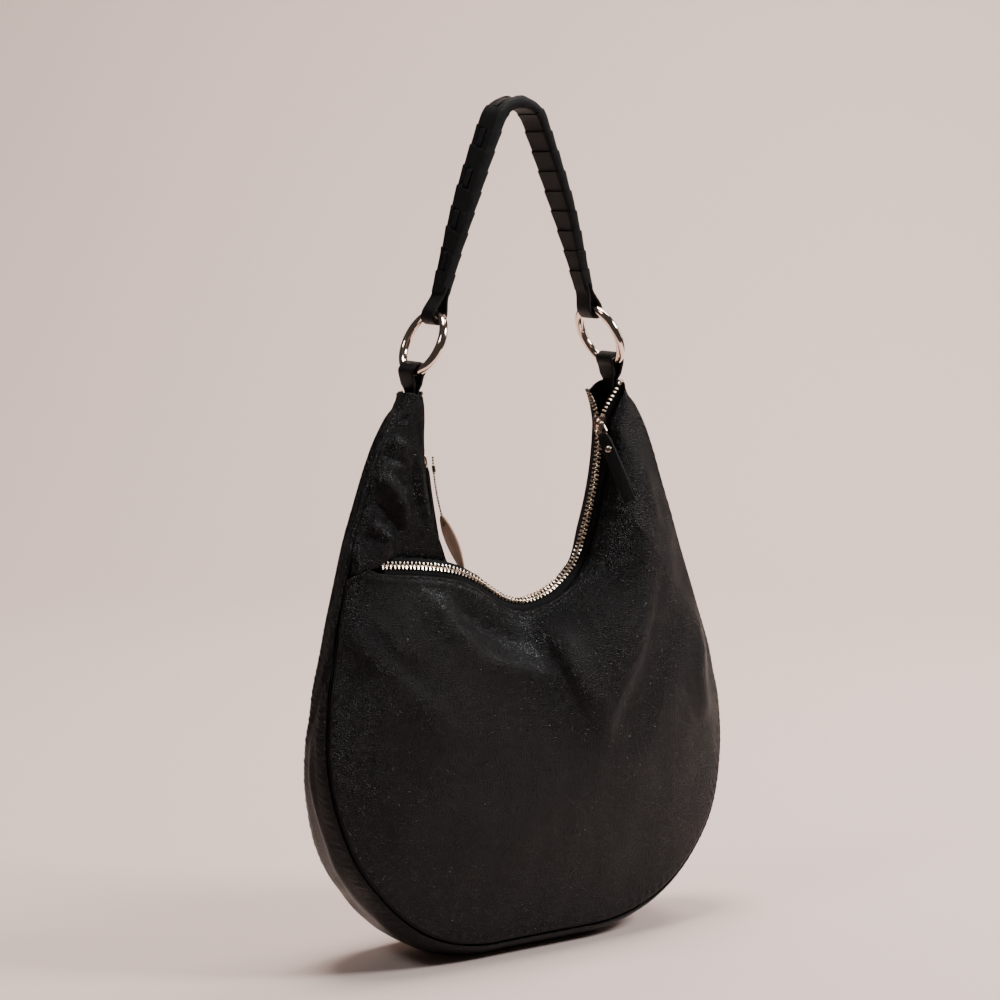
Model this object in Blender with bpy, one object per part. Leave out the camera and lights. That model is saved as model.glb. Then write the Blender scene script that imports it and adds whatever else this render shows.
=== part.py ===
"""Black leather hobo bag with two zipped compartments and a wrapped top handle.

Metres, +Z up, front towards -Y. The bag stands on the flat of its bottom gusset at z = 0,
centred on x = 0 and y = 0. Every separate piece is one named object.
"""
import math

import bmesh
import bpy
from mathutils import Matrix, Vector

MM = 0.001

# ---- driving dimensions, millimetres -------------------------------------------------
LEATHER = 1.6            # thickness of the outer leather
PIPING_R = 1.4           # radius of the piped seam round each face
EDGE_GAP = 2.3           # how far leather edges stop short of the piping centre
SEAM_Z = 12.0            # height of the bottom seam over the floor
HORN_TOP = 402.0         # height of the horn tips
# half width of the face outline at each height
OUTLINE = [(12, 48), (14, 64), (18, 80), (25, 97), (36, 114), (52, 131), (75, 148.5), (100, 159),
           (130, 165.5), (160, 166.5), (200, 161), (250, 148.5), (300, 134.5), (345, 119.5),
           (375, 108), (402, 97)]
# half distance between the front and rear seams at each height
SEAM_Y = [(12, 38), (30, 36.5), (55, 33), (90, 26), (130, 19), (160, 15), (213, 10.4),
          (300, 8.0), (345, 7.3), (402, 6.6)]
# outward bulge of the gusset at each height
BULGE = [(12, 12), (22, 11.2), (40, 9.0), (100, 6.5), (200, 3.6), (300, 1.8), (402, 1.0)]
# sideways set of the soft body over the floor at each height
SETTLE = [(0, 3.5), (12, 4.0), (40, 6.0), (150, 6.5), (210, 4.5), (250, 2.0), (290, 0.0)]
FLAT_SHARE = 0.45        # share of the gusset's width that stands flat on the floor

# zip path on the front face, from the left seam round the dip and up the right horn
ZIP_ARC_R = 225.0        # radius of the upper right limb, followed by the slider
ZIP_TOP_X = 72.0         # where that limb stands upright
ZIP_TOP_Z = 370.0
LIMB_LEAN = 35.0         # lean of the zip's face towards the outside, degrees
ZIP_ARC_DEG = 23.5       # angle of that limb about its arc centre
REAR_WIDE = 5.0          # the rear zip's limb stands this much further out
REAR_REST_DEG = 3.8      # the rear slider rests this far down its arc
DIP_Z = 247.0            # lowest point of the zip
TEETH_W = 2.7            # width of one row of teeth
TEETH_T = 1.5
TAPE_T = 0.5
TAPE_RHO = 7.0           # curvature of the zip band across its width

RING_MID_R = 22.0        # O ring, centre line radius
RING_WIRE_R = 3.0
RING_X = 74.0
RING_Z = 433.0
RING_TILT = 25.0         # lean towards the middle, degrees
LOOP_T = 2.2             # leather of the ring loops
LOOP_GAP = 0.45
TAB_W = 18.0
TAB_FOOT_Z = 403.6       # where the tabs leave the horns; the handle folds about this height
HANDLE_W = 27.0          # overall, front to back
HANDLE_T = 9.0
HANDLE_TOP = 601.0
HANDLE_LEAN = 20.0       # lean of the limbs, degrees
HANDLE_BEND_R = 19.0

PULL_LEN = 62.0
FRONT_PULL_DOWN = (0.15, -0.56, -1.0)    # lies over the front face
REAR_PULL_DOWN = (-0.21, -0.10, -1.0)    # hangs into the dip, before the half turn
PULL_W = 9.0
TAG_LEN = 46.0
TAG_W = 17.0


def interp(table, value):
    """Straight-line look-up in a list of pairs."""
    if value <= table[0][0]:
        return table[0][1]
    for (a, fa), (b, fb) in zip(table, table[1:]):
        if value <= b:
            return fa + (fb - fa) * (value - a) / (b - a)
    return table[-1][1]


def smooth(a, b, value):
    t = min(1.0, max(0.0, (value - a) / (b - a)))
    return t * t * (3 - 2 * t)


# ---- scene and materials --------------------------------------------------------------
def clear_scene():
    for ob in list(bpy.data.objects):
        bpy.data.objects.remove(ob, do_unlink=True)


def material(name, colour, metallic, roughness):
    mat = bpy.data.materials.new(name)
    mat.use_nodes = True
    shader = mat.node_tree.nodes["Principled BSDF"]
    shader.inputs["Base Color"].default_value = (*colour, 1.0)
    shader.inputs["Metallic"].default_value = metallic
    shader.inputs["Roughness"].default_value = roughness
    mat.diffuse_color = (*colour, 1.0)
    return mat


def leather(name):
    return material(name, (0.022, 0.021, 0.021), 0.0, 0.5)


def gold(name):
    return material(name, (0.86, 0.66, 0.52), 1.0, 0.22)


def cloth(name):
    return material(name, (0.012, 0.012, 0.013), 0.0, 0.85)


# ---- solid builders -------------------------------------------------------------------
def finish(name, verts, faces, mat, shade=True, turn=False, soft=False):
    """Make an object from points in millimetres; turn puts it half round the Z axis."""
    sign = -1.0 if turn else 1.0
    points = [Vector((v[0] * sign, v[1] * sign, v[2])) for v in verts]
    if soft:
        for p in points:
            p.x += interp(SETTLE, p.z)
    mesh = bpy.data.meshes.new(name)
    mesh.from_pydata([p * MM for p in points], [], faces)
    bm = bmesh.new()
    bm.from_mesh(mesh)
    bmesh.ops.recalc_face_normals(bm, faces=bm.faces)
    bmesh.ops.triangulate(bm, faces=[f for f in bm.faces if len(f.verts) > 4])
    bm.to_mesh(mesh)
    bm.free()
    ob = bpy.data.objects.new(name, mesh)
    bpy.context.scene.collection.objects.link(ob)
    mesh.materials.append(mat)
    if shade:
        mesh.shade_smooth()
    return ob


def sheet_solid(name, top, bottom, mat, turn=False):
    """Closed solid between two matching grids of points."""
    rows, cols = len(top), len(top[0])
    verts = [p for row in top for p in row] + [p for row in bottom for p in row]
    half = rows * cols
    faces = []
    for i in range(rows - 1):
        for j in range(cols - 1):
            a, b = i * cols + j, i * cols + j + 1
            c, d = (i + 1) * cols + j + 1, (i + 1) * cols + j
            faces.append((a, b, c, d))
            faces.append((half + d, half + c, half + b, half + a))
    rim = [(i, 0) for i in range(rows)] + [(rows - 1, j) for j in range(1, cols)]
    rim += [(i, cols - 1) for i in range(rows - 2, -1, -1)] + [(0, j) for j in range(cols - 2, 0, -1)]
    for k, (i, j) in enumerate(rim):
        m, n = rim[(k + 1) % len(rim)]
        a, b = i * cols + j, m * cols + n
        faces.append((b, a, half + a, half + b))
    return finish(name, verts, faces, mat, turn=turn, soft=True)


def sweep(name, rings, mat, closed=False, turn=False, shade=True, soft=False):
    """Solid through a list of matching closed sections."""
    n = len(rings[0])
    verts = [p for ring in rings for p in ring]
    faces = []
    count = len(rings)
    for i in range(count if closed else count - 1):
        a, b = i * n, ((i + 1) % count) * n
        for j in range(n):
            k = (j + 1) % n
            faces.append((a + j, a + k, b + k, b + j))
    if not closed:
        faces.append(tuple(range(n - 1, -1, -1)))
        faces.append(tuple((count - 1) * n + j for j in range(n)))
    return finish(name, verts, faces, mat, shade=shade, turn=turn, soft=soft)


def round_section(centre, side, up, radius, sides):
    return [centre + side * (radius * math.cos(2 * math.pi * k / sides))
            + up * (radius * math.sin(2 * math.pi * k / sides)) for k in range(sides)]


def band_section(centre, side, up, width, thick, corner):
    """Rectangle with cut corners, eight points, centred on the path."""
    w, t, c = width / 2, thick / 2, corner
    pts = [(w, -t + c), (w, t - c), (w - c, t), (-w + c, t), (-w, t - c), (-w, -t + c),
           (-w + c, -t), (w - c, -t)]
    return [centre + side * a + up * b for a, b in pts]


def resample(points, count):
    """Evenly spaced points along a polyline."""
    lengths = [0.0]
    for a, b in zip(points, points[1:]):
        lengths.append(lengths[-1] + (b - a).length)
    out, k = [], 0
    for i in range(count):
        s = lengths[-1] * i / (count - 1)
        while k < len(points) - 2 and lengths[k + 1] < s:
            k += 1
        f = (s - lengths[k]) / (lengths[k + 1] - lengths[k])
        out.append(points[k].lerp(points[k + 1], min(1.0, max(0.0, f))))
    return out


def spline(points, steps):
    """Curve through the given points."""
    out = []
    ext = [points[0] * 2 - points[1]] + list(points) + [points[-1] * 2 - points[-2]]
    for i in range(1, len(ext) - 2):
        a, b, c, d = ext[i - 1], ext[i], ext[i + 1], ext[i + 2]
        for k in range(steps):
            t = k / steps
            out.append(0.5 * ((2 * b) + (c - a) * t + (2 * a - 5 * b + 4 * c - d) * t * t
                              + (3 * b - a - 3 * c + d) * t * t * t))
    out.append(points[-1])
    return out


# ---- outline of the bag ----------------------------------------------------------------
def outline_points(count, z_from=HORN_TOP, z_to=HORN_TOP):
    """Seam outline in the XZ plane, from one side down round the bottom to the other."""
    left = [Vector((-interp(OUTLINE, z), 0, z)) for z in
            (402, 390, 375, 360, 345, 322, 300, 275, 250, 225, 200, 180, 160, 130, 100, 75, 52, 36,
             25, 18, 14, 12)]
    left = [p for p in left if p.z < z_from - 4]
    left.insert(0, Vector((-interp(OUTLINE, z_from), 0, z_from)))
    right = [Vector((-p.x, 0, p.z)) for p in reversed(left)]
    right = [p for p in right if p.z < z_to - 4]
    right.append(Vector((interp(OUTLINE, z_to), 0, z_to)))
    if z_from < z_to:
        extra = [Vector((interp(OUTLINE, z), 0, z)) for z in (300, 322, 345, 360, 375, 390)
                 if z_from - 4 <= z < z_to - 4]
        right = right[:-1] + [p for p in extra if p.z > right[-2].z + 4] + [right[-1]]
    base = [Vector((x, 0, SEAM_Z)) for x in (-30, -12, 12, 30)]
    return resample(spline(left + base + right, 6), count)


def outward(points, i):
    """In-plane direction pointing away from the bag at a station of the outline."""
    a, b = points[max(i - 1, 0)], points[min(i + 1, len(points) - 1)]
    tangent = (b - a).normalized()
    return Vector((tangent.z, 0, -tangent.x)), tangent


# ---- zip path ---------------------------------------------------------------------------
def zip_path(outer, turn):
    """Centre line of one zip; above the slider its two sides part."""
    wide = REAR_WIDE if turn else 0.0
    flat = [(-127, 284.0), (-112, 283.2), (-98, 282.0), (-80, 279.8), (-62, 276.2), (-48, 271.2),
            (-36, 264.6), (-25, 257.0), (-13, 250.0), (0, DIP_Z), (14 + wide * 0.3, 249.0),
            (27 + wide * 0.6, 254.6), (38.5 + wide * 0.8, 263.4)]
    arc = []
    for k in range(9):
        a = math.radians(ZIP_ARC_DEG * (1 - k / 8.0))
        arc.append((ZIP_TOP_X + wide - ZIP_ARC_R * (1 - math.cos(a)),
                    ZIP_TOP_Z - ZIP_ARC_R * math.sin(a)))
    if outer:
        top = [(75.0 + wide, 381.0, -4.2), (79.6 + wide * 0.7, 390.5, -5.2),
               (84.0 + wide * 0.3, 398.0, -5.8)]
    else:
        top = [(72.2 + wide, 381.0, -2.0), (73.0 + wide, 390.5, 0.6), (74.5 + wide, 398.0, 1.6)]
    pts = [Vector((x, zip_y(x, z), z)) for x, z in flat + arc] + [Vector((x, y, z)) for x, z, y in top]
    return resample(spline(pts, 8), 49)


def zip_y(x, z):
    """How far in front of the middle the zip runs."""
    if x < 0:
        return -interp([(0, 7.5), (20, 8.8), (40, 10.6), (60, 12.4), (80, 13.2), (112, 12.8),
                        (127, 12.2)], -x)
    return -interp([(247, 7.5), (262, 6.4), (282, 4.0), (404, 4.0)], z)


def zip_frame(points, i):
    """Point, tangent, direction to the outer face side, and face normal of the zip."""
    a, b = points[max(i - 1, 0)], points[min(i + 1, len(points) - 1)]
    t = (b - a).normalized()
    flat = Vector((t.x, 0, t.z)).normalized()
    inward = Vector((-flat.z, 0, flat.x))            # towards the open side of the dip
    lean = math.radians(interp([(-127, 66), (-62, 62), (-20, 42), (0, LIMB_LEAN), (100, LIMB_LEAN)],
                               points[i].x))
    normal = inward * math.cos(lean) + Vector((0, -1, 0)) * math.sin(lean)
    normal = (normal - t * normal.dot(t)).normalized()
    side = t.cross(normal)
    if side.y > 0:
        side = -side
    return points[i], t, side, normal


def zip_rho(x):
    return interp([(-127, 30), (-60, 26), (-20, 10), (0, TAPE_RHO), (100, TAPE_RHO)], x)


def on_band(frame, across, lift=0.0):
    """Point on the curved zip band; positive across goes to the outer face side."""
    p, _, side, normal = frame
    rho = zip_rho(p.x)
    return p + side * across + normal * (lift - across * across / (2 * rho))


def middle_y(x, z):
    """Depth of the middle panel: flat inside the bag, front of one horn, back of the other."""
    s = smooth(262, 296, z) * (interp(SEAM_Y, z) - 0.8)
    return s if x > 0 else -s


# ---- leather body -------------------------------------------------------------------------
def face_panel(name, mat, turn):
    """Front face: everything under the zip, with the right horn. The rear is the same turned."""
    stations = 45
    inner_line = resample(zip_path(True, turn), stations)
    outer_line = outline_points(stations, z_from=276.0, z_to=HORN_TOP)
    top, bottom = [], []
    rows = [0.0, 0.06, 0.16, 0.3, 0.46, 0.62, 0.78, 0.91, 1.0]
    grid = []
    for i in range(stations):
        frame = zip_frame(inner_line, i)
        a = on_band(frame, 6.3, 0.6)
        out, _ = outward(outer_line, i)
        o = outer_line[i]
        b = Vector((o.x, -interp(SEAM_Y, o.z), o.z)) - out * EDGE_GAP
        length = Vector((a.x - b.x, 0, a.z - b.z)).length
        swell = min(24.0, 0.15 * length)
        row = []
        for v in rows:
            p = a.lerp(b, v)
            p.y -= swell * math.sin(math.pi * v ** 0.85) ** 0.9
            row.append(p)
        grid.append(row)
    for i in range(stations):
        row_t, row_b = [], []
        for j in range(len(rows)):
            du = grid[min(i + 1, stations - 1)][j] - grid[max(i - 1, 0)][j]
            dv = grid[i][min(j + 1, len(rows) - 1)] - grid[i][max(j - 1, 0)]
            n = du.cross(dv).normalized()
            if n.y > 0:
                n = -n
            row_t.append(grid[i][j])
            row_b.append(grid[i][j] - n * LEATHER)
        top.append(row_t)
        bottom.append(row_b)
    return sheet_solid(name, top, bottom, mat, turn=turn)


def middle_panel(name, mat):
    """Full crescent between the compartments; it also faces one side of each horn."""
    stations = 41
    right_line = [Vector((p.x, 0, p.z)) for p in zip_path(False, False) if p.x > -0.5]
    left_line = [Vector((-p.x, 0, p.z)) for p in reversed(zip_path(False, True)) if p.x > 0.5]
    inner = resample(left_line + right_line, stations)
    outer = outline_points(stations)
    top, bottom = [], []
    for i in range(stations):
        out, _ = outward(outer, i)
        tangent = (inner[min(i + 1, stations - 1)] - inner[max(i - 1, 0)]).normalized()
        away = Vector((tangent.z, 0, -tangent.x))
        a = inner[i] + away * 1.4
        row_t, row_b = [], []
        for v in (0.0, 0.12, 0.35, 0.6, 0.82, 1.0):
            o = outer[i]
            half = interp(SEAM_Y, o.z)
            y_edge = middle_y(o.x, o.z)
            reach = interp(BULGE, o.z) * (1 - (y_edge / half) ** 2) - EDGE_GAP - 0.9
            if abs(o.x) < 75:
                reach = min(reach, SEAM_Z - 4.6)
            b = o + out * reach
            p = a.lerp(b, v)
            y = middle_y(p.x, p.z)
            row_t.append(Vector((p.x, y - 0.6, p.z)))
            row_b.append(Vector((p.x, y + 0.6, p.z)))
        top.append(row_t)
        bottom.append(row_b)
    return sheet_solid(name, top, bottom, mat)


def gusset(name, mat):
    """Strip round the sides and bottom, flat where it stands on the floor."""
    stations = 49
    line = outline_points(stations)
    top, bottom = [], []
    for i in range(stations):
        out, _ = outward(line, i)
        p = line[i]
        half = interp(SEAM_Y, p.z) - EDGE_GAP
        swell = interp(BULGE, p.z)
        row_t, row_b = [], []
        for f in (-1.0, -0.8, -FLAT_SHARE, FLAT_SHARE, 0.8, 1.0):
            lift = swell * min(1.0, (1 - abs(f) ** 2.2) * 1.21)
            q = p + out * lift + Vector((0, half * f, 0))
            if p.z < SEAM_Z + 0.05:
                q.z = max(q.z, 0.0)
            row_t.append(q)
            row_b.append(q - out * LEATHER)
        top.append(row_t)
        bottom.append(row_b)
    ob = sheet_solid(name, top, bottom, mat)
    for v in ob.data.vertices:
        if v.co.z < 0.00015:
            v.co.z = 0.0
    return ob


def piping(name, mat, turn):
    stations = 45
    line = outline_points(stations)
    rings = []
    for i in range(stations):
        out, tangent = outward(line, i)
        p = Vector((line[i].x, -interp(SEAM_Y, line[i].z), line[i].z))
        rings.append(round_section(p, out, tangent.cross(out), PIPING_R, 6))
    return sweep(name, rings, mat, turn=turn, soft=True)


def lining(name, mat, turn):
    """Cloth lining of one compartment where it lies on the middle panel."""
    line = outline_points(33, z_from=225.0, z_to=225.0)
    rim = []
    for i in range(33):
        out, _ = outward(line, i)
        rim.append(line[i] - out * 4.0)
    front = [Vector((p.x, -1.7, p.z)) for p in rim]
    back = [Vector((p.x, -1.1, p.z)) for p in rim]
    n = len(rim)
    verts = front + back
    faces = [tuple(range(n)), tuple(range(2 * n - 1, n - 1, -1))]
    faces += [((k + 1) % n, k, n + k, n + (k + 1) % n) for k in range(n)]
    return finish(name, verts, faces, mat, shade=False, turn=turn, soft=True)


def box(name, centre, size, mat, bevel=0.0):
    """Rounded block made from the cube primitive."""
    bpy.ops.mesh.primitive_cube_add(size=1.0, location=tuple(c * MM for c in centre))
    ob = bpy.context.object
    ob.name = name
    ob.data.name = name
    for v in ob.data.vertices:
        v.co = Vector((v.co.x * size[0], v.co.y * size[1], v.co.z * size[2])) * MM
    ob.data.materials.append(mat)
    if bevel:
        mod = ob.modifiers.new("bevel", "BEVEL")
        mod.width = bevel * MM
        mod.segments = 2
    return ob


# ---- zips ------------------------------------------------------------------------------------
def inner_reach(frame):
    """How far across the inner tape runs to meet the middle panel."""
    p = frame[0]
    if p.x < -36:
        return 6.2
    target = middle_y(p.x, p.z) - 1.9 if p.x > 0 else -1.9
    across = 4.0
    while across < 12.0 and on_band(frame, -across).y < target:
        across += 0.1
    return across


def zip_tape(name, mat, outer, turn):
    pts = resample(zip_path(outer, turn), 37)
    top, bottom = [], []
    for i in range(len(pts)):
        frame = zip_frame(pts, i)
        if outer:
            spread = (0.4, 2.9, 5.3)
        else:
            reach = inner_reach(frame)
            spread = (-0.4, -0.5 * (reach + 0.4), -reach)
        top.append([on_band(frame, a, 0.0) for a in spread])
        bottom.append([on_band(frame, a, -TAPE_T) for a in spread])
    return sheet_solid(name, top, bottom, mat, turn=turn)


def zip_teeth(name, mat, outer, turn):
    """One row of teeth as a plain bar of the row's width and height."""
    pts = resample(zip_path(outer, turn), 53)
    pts = pts[1:-1]
    sign = 1.0 if outer else -1.0
    rings = []
    for i in range(len(pts)):
        frame = zip_frame(pts, i)
        a, b = sign * 0.25, sign * (0.25 + TEETH_W)
        low = 0.35
        p, _, side, normal = frame
        sag_a, sag_b = a * a / (2 * zip_rho(p.x)), b * b / (2 * zip_rho(p.x))
        rings.append([p + side * a + normal * (low - sag_a), p + side * b + normal * (low - sag_b),
                      p + side * b + normal * (low - sag_b + TEETH_T),
                      p + side * a + normal * (low - sag_a + TEETH_T)])
    return sweep(name, rings, mat, turn=turn, shade=False, soft=True)


def basis(x, y, z, point):
    """Placement whose axes are x, y and z."""
    return Matrix(((x.x, y.x, z.x, point.x), (x.y, y.y, z.y, point.y),
                   (x.z, y.z, z.z, point.z), (0, 0, 0, 1)))


def place(ob, frame_matrix, turn):
    """Put an object built in local millimetres at a frame, half round Z for the rear side."""
    spin = Matrix.Rotation(math.pi, 4, "Z") if turn else Matrix.Identity(4)
    ob.data.transform(spin @ frame_matrix)
    ob.data.update()


def slider_frame(turn):
    """Frame of a slider on its arc: X up the zip, Z off the face, before any half turn."""
    a = math.radians(REAR_REST_DEG if turn else 0.0)
    wide = REAR_WIDE if turn else 0.0
    x = ZIP_TOP_X + wide - ZIP_ARC_R * (1 - math.cos(a))
    z = ZIP_TOP_Z - ZIP_ARC_R * math.sin(a)
    lean = math.radians(LIMB_LEAN)
    t = Vector((math.sin(a), 0, math.cos(a)))
    normal = Vector((-math.cos(a), 0, math.sin(a))) * math.cos(lean) - Vector((0, 1, 0)) * math.sin(lean)
    return basis(t, normal.cross(t), normal, Vector((x, zip_y(x, z), z)) * MM)


def slider(name, mat, turn):
    """Shield-shaped top plate with the pull bridge; the bottom plate is under the teeth."""
    low = 0.35 + TEETH_T + 0.5
    outline = [(-5.2, -1.9), (-5.2, 1.9), (-1.0, 3.7), (4.4, 4.1), (5.6, 2.2), (5.6, -2.2),
               (4.4, -4.1), (-1.0, -3.7)]
    verts = [Vector((x, y, low)) for x, y in outline] + [Vector((x, y, low + 1.3)) for x, y in outline]
    n = len(outline)
    faces = [tuple(range(n - 1, -1, -1)), tuple(range(n, 2 * n))]
    faces += [(k, (k + 1) % n, n + (k + 1) % n, n + k) for k in range(n)]
    ob = finish(name, verts, faces, mat, shade=False)
    # bridge over the plate that holds the pull ring
    bridge = []
    for k in range(9):
        a = math.pi * k / 8
        c = Vector((3.5 * math.cos(a), 0, low + 0.9 + 3.5 * math.sin(a)))
        radial = Vector((math.cos(a), 0, math.sin(a)))
        bridge.append(band_section(c, Vector((0, 1, 0)), radial, 2.2, 1.1, 0.2))
    arch = sweep(name + "_arch", bridge, mat)
    join_solids(ob, arch)
    place(ob, slider_frame(turn), turn)
    return ob


def join_solids(ob, other):
    """Unite two overlapping solids into one body."""
    mod = ob.modifiers.new("join", "BOOLEAN")
    mod.operation = "UNION"
    mod.solver = "EXACT"
    mod.object = other
    bpy.context.view_layer.objects.active = ob
    for o in bpy.context.selected_objects:
        o.select_set(False)
    ob.select_set(True)
    bpy.ops.object.modifier_apply(modifier=mod.name)
    bpy.data.objects.remove(other, do_unlink=True)


def slider_pivot(turn):
    """Pivot of the pull in the bridge and its axis, before any half turn."""
    m = slider_frame(turn)
    low = 0.35 + TEETH_T + 0.5
    return m @ (Vector((0.0, 0, low + 2.6)) * MM), (m.to_3x3() @ Vector((0, 1, 0))).normalized()


def pull_frame(turn):
    """Frame of the hanging pull: Z down the strap, Y off the bag's face, X along the pivot."""
    pivot, axis = slider_pivot(turn)
    down = Vector(REAR_PULL_DOWN if turn else FRONT_PULL_DOWN).normalized()
    x = (axis - down * axis.dot(down)).normalized()
    y = down.cross(x)
    return basis(x, y, down, pivot)


def pull_ring(name, mat, turn):
    """Small oval ring through the slider bridge."""
    rings = []
    for k in range(20):
        a = 2 * math.pi * k / 20
        ca, sa = math.cos(a), math.sin(a)
        c = Vector((3.7 * math.copysign(abs(ca) ** 0.6, ca), 0,
                    4.9 + 4.9 * math.copysign(abs(sa) ** 0.6, sa)))
        radial = Vector((math.copysign(abs(ca) ** 1.4, ca), 0,
                         math.copysign(abs(sa) ** 1.4, sa))).normalized()
        rings.append(round_section(c, radial, Vector((0, 1, 0)), 0.7, 6))
    ob = sweep(name, rings, mat, closed=True)
    place(ob, pull_frame(turn), turn)
    return ob


def pull_strap(name, mat, turn):
    """Leather strip folded through the ring, riveted, with two tails."""
    t = 1.3
    fold = []
    for k in range(9):
        a = math.pi * k / 8
        fold.append((1.85 * math.cos(a), 9.8 - 2.1 * math.sin(a)))
    near = [(1.6, 14.0), (1.0, 20.0), (0.85, 27.0), (1.6, 40.0), (3.4, PULL_LEN - 3)]
    far = [(-1.6, 14.0), (-1.0, 20.0), (-0.85, 27.0), (-1.2, 40.0), (-2.4, PULL_LEN)]
    line = [Vector((0, y, z)) for y, z in reversed(near)] + [Vector((0, y, z)) for y, z in fold]
    line += [Vector((0, y, z)) for y, z in far]
    rings = []
    for i, p in enumerate(line):
        a, b = line[max(i - 1, 0)], line[min(i + 1, len(line) - 1)]
        tangent = (b - a).normalized()
        normal = Vector((0, tangent.z, -tangent.y))
        width = interp([(10, 3.4), (18, 6.6), (30, PULL_W), (PULL_LEN, PULL_W)], p.z)
        rings.append(band_section(p, Vector((1, 0, 0)), normal, width, t, 0.25))
    ob = sweep(name, rings, mat)
    place(ob, pull_frame(turn), turn)
    return ob


def disc(name, radius, height, mat, sides=16):
    bpy.ops.mesh.primitive_cylinder_add(vertices=sides, radius=radius * MM, depth=height * MM)
    ob = bpy.context.object
    ob.name = name
    ob.data.name = name
    ob.data.materials.append(mat)
    mod = ob.modifiers.new("bevel", "BEVEL")
    mod.width = min(radius, height) * 0.25 * MM
    mod.segments = 1
    mod.limit_method = "ANGLE"
    bpy.ops.object.modifier_apply(modifier=mod.name)
    return ob


def pull_rivet(name, mat, turn):
    """Domed rivet head on the outer face of the pull."""
    ob = disc(name, 2.4, 1.1, mat)
    ob.data.transform(Matrix.Rotation(math.pi / 2, 4, "X"))
    ob.data.transform(Matrix.Translation(Vector((0, -(1.0 + 0.65 + 0.35 + 0.55), 20.5)) * MM))
    ob.data.shade_smooth()
    place(ob, pull_frame(turn), turn)
    return ob


def zip_stop(name, mat, outer, turn):
    """Folded metal stop at the upper end of one row of teeth."""
    pts = zip_path(outer, turn)
    frame = zip_frame(pts, len(pts) - 1)
    _, t, _, normal = frame
    c = on_band(frame, 1.6 if outer else -1.6, 1.2) + t * 2.2
    ob = box(name, (0, 0, 0), (3.0, 2.8, 1.7), mat, bevel=0.3)
    place(ob, basis(t, normal.cross(t), normal, c * MM), turn)
    return ob


# ---- rings, tabs and handle --------------------------------------------------------------------
def ring_dir(sign):
    """Direction from the tab to the handle through the ring on one side (sign -1 is left)."""
    a = math.radians(RING_TILT)
    return Vector((-sign * math.sin(a), 0, math.cos(a)))


def o_ring(name, mat, sign):
    centre = Vector((sign * RING_X, 0, RING_Z))
    d = ring_dir(sign)
    y = Vector((0, 1, 0))
    normal = d.cross(y)
    rings = []
    for k in range(32):
        a = 2 * math.pi * k / 32
        radial = d * math.cos(a) + y * math.sin(a)
        rings.append(round_section(centre + radial * RING_MID_R, radial, normal, RING_WIRE_R, 10))
    ob = sweep(name, rings, mat, closed=True)
    set_origin(ob, centre * MM)
    return ob


def set_origin(ob, point):
    ob.data.transform(Matrix.Translation(-point))
    ob.location = point


def loop_strap(name, mat, pivot, inward, away, width, legs, spread, foot):
    """Leather strap folded round a ring wire: over the wire inside the ring, legs running away."""
    d = inward.normalized()
    y = Vector((0, 1, 0))
    n = d.cross(y)
    m = y.cross(away)
    r = RING_WIRE_R + LOOP_GAP + LOOP_T / 2
    reach = 2.5          # room for the curve of the ring inside the straight fold
    line = [-m * spread + away * legs, -m * spread * 1.1 + away * (legs * 0.62), -n * r - d * 1.5]
    for k in range(9):
        a = math.pi * k / 8
        line.append(-n * (r * math.cos(a)) + d * (reach + r * math.sin(a)))
    line += [n * r - d * 1.5, m * spread * 1.1 + away * (legs * 0.62), m * spread + away * legs]
    rings = []
    for i, p in enumerate(line):
        a, b = line[max(i - 1, 0)], line[min(i + 1, len(line) - 1)]
        tangent = (b - a).normalized()
        normal = y.cross(tangent)
        across = interp([(legs * 0.45, width), (legs, foot)], p.dot(away))
        rings.append(band_section(pivot + p, y, normal, across, LOOP_T, 0.35))
    return sweep(name, rings, mat)


def ring_pivot(sign, upper):
    centre = Vector((sign * RING_X, 0, RING_Z))
    return centre + ring_dir(sign) * (RING_MID_R if upper else -RING_MID_R)


def limb_dir(sign):
    a = math.radians(HANDLE_LEAN)
    return Vector((-sign * math.sin(a), 0, math.cos(a)))


def handle_line(count, start):
    """Centre line of the handle from the left loop over the top to the right loop."""
    foot = ring_pivot(-1, True)
    d = limb_dir(-1)
    top_z = HANDLE_TOP - HANDLE_T / 2
    # straight limbs joined by a bend tangent to both
    lean = math.radians(HANDLE_LEAN)
    r = HANDLE_BEND_R
    bend_x = r * math.cos(lean)
    left_foot = foot + d * start
    bend_z = top_z - r + r * math.sin(lean)
    bend_start = Vector((-bend_x, 0, bend_z))
    pts = [left_foot.lerp(bend_start, k / 8.0) for k in range(8)]
    # a slight outward bow of the limb
    for k in range(1, 8):
        bow = 2.0 * math.sin(math.pi * k / 8.0)
        pts[k] = pts[k] + Vector((-bow * math.cos(lean), 0, bow * math.sin(lean)))
    for k in range(13):
        a = math.pi - lean - (math.pi - 2 * lean) * k / 12
        pts.append(Vector((r * math.cos(a), 0, top_z - r + r * math.sin(a))))
    pts += [Vector((-p.x, 0, p.z)) for p in reversed(pts[:8])]
    return resample(spline(pts, 4), count)


def handle_frame(line, i):
    a, b = line[max(i - 1, 0)], line[min(i + 1, len(line) - 1)]
    tangent = (b - a).normalized()
    return Vector((0, 1, 0)), Vector((-tangent.z, 0, tangent.x))


def handle_core(name, mat):
    """Padded strap inside the wrapping, tapered at both ends."""
    line = handle_line(33, 16.0)
    rings = []
    for i, p in enumerate(line):
        side, up = handle_frame(line, i)
        end = min(i, len(line) - 1 - i)
        width = interp([(0, 12.0), (3.2, HANDLE_W - 6.4)], end)
        rings.append(band_section(p, side, up, width, HANDLE_T - 4.6, 1.2))
    return sweep(name, rings, mat)


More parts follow.
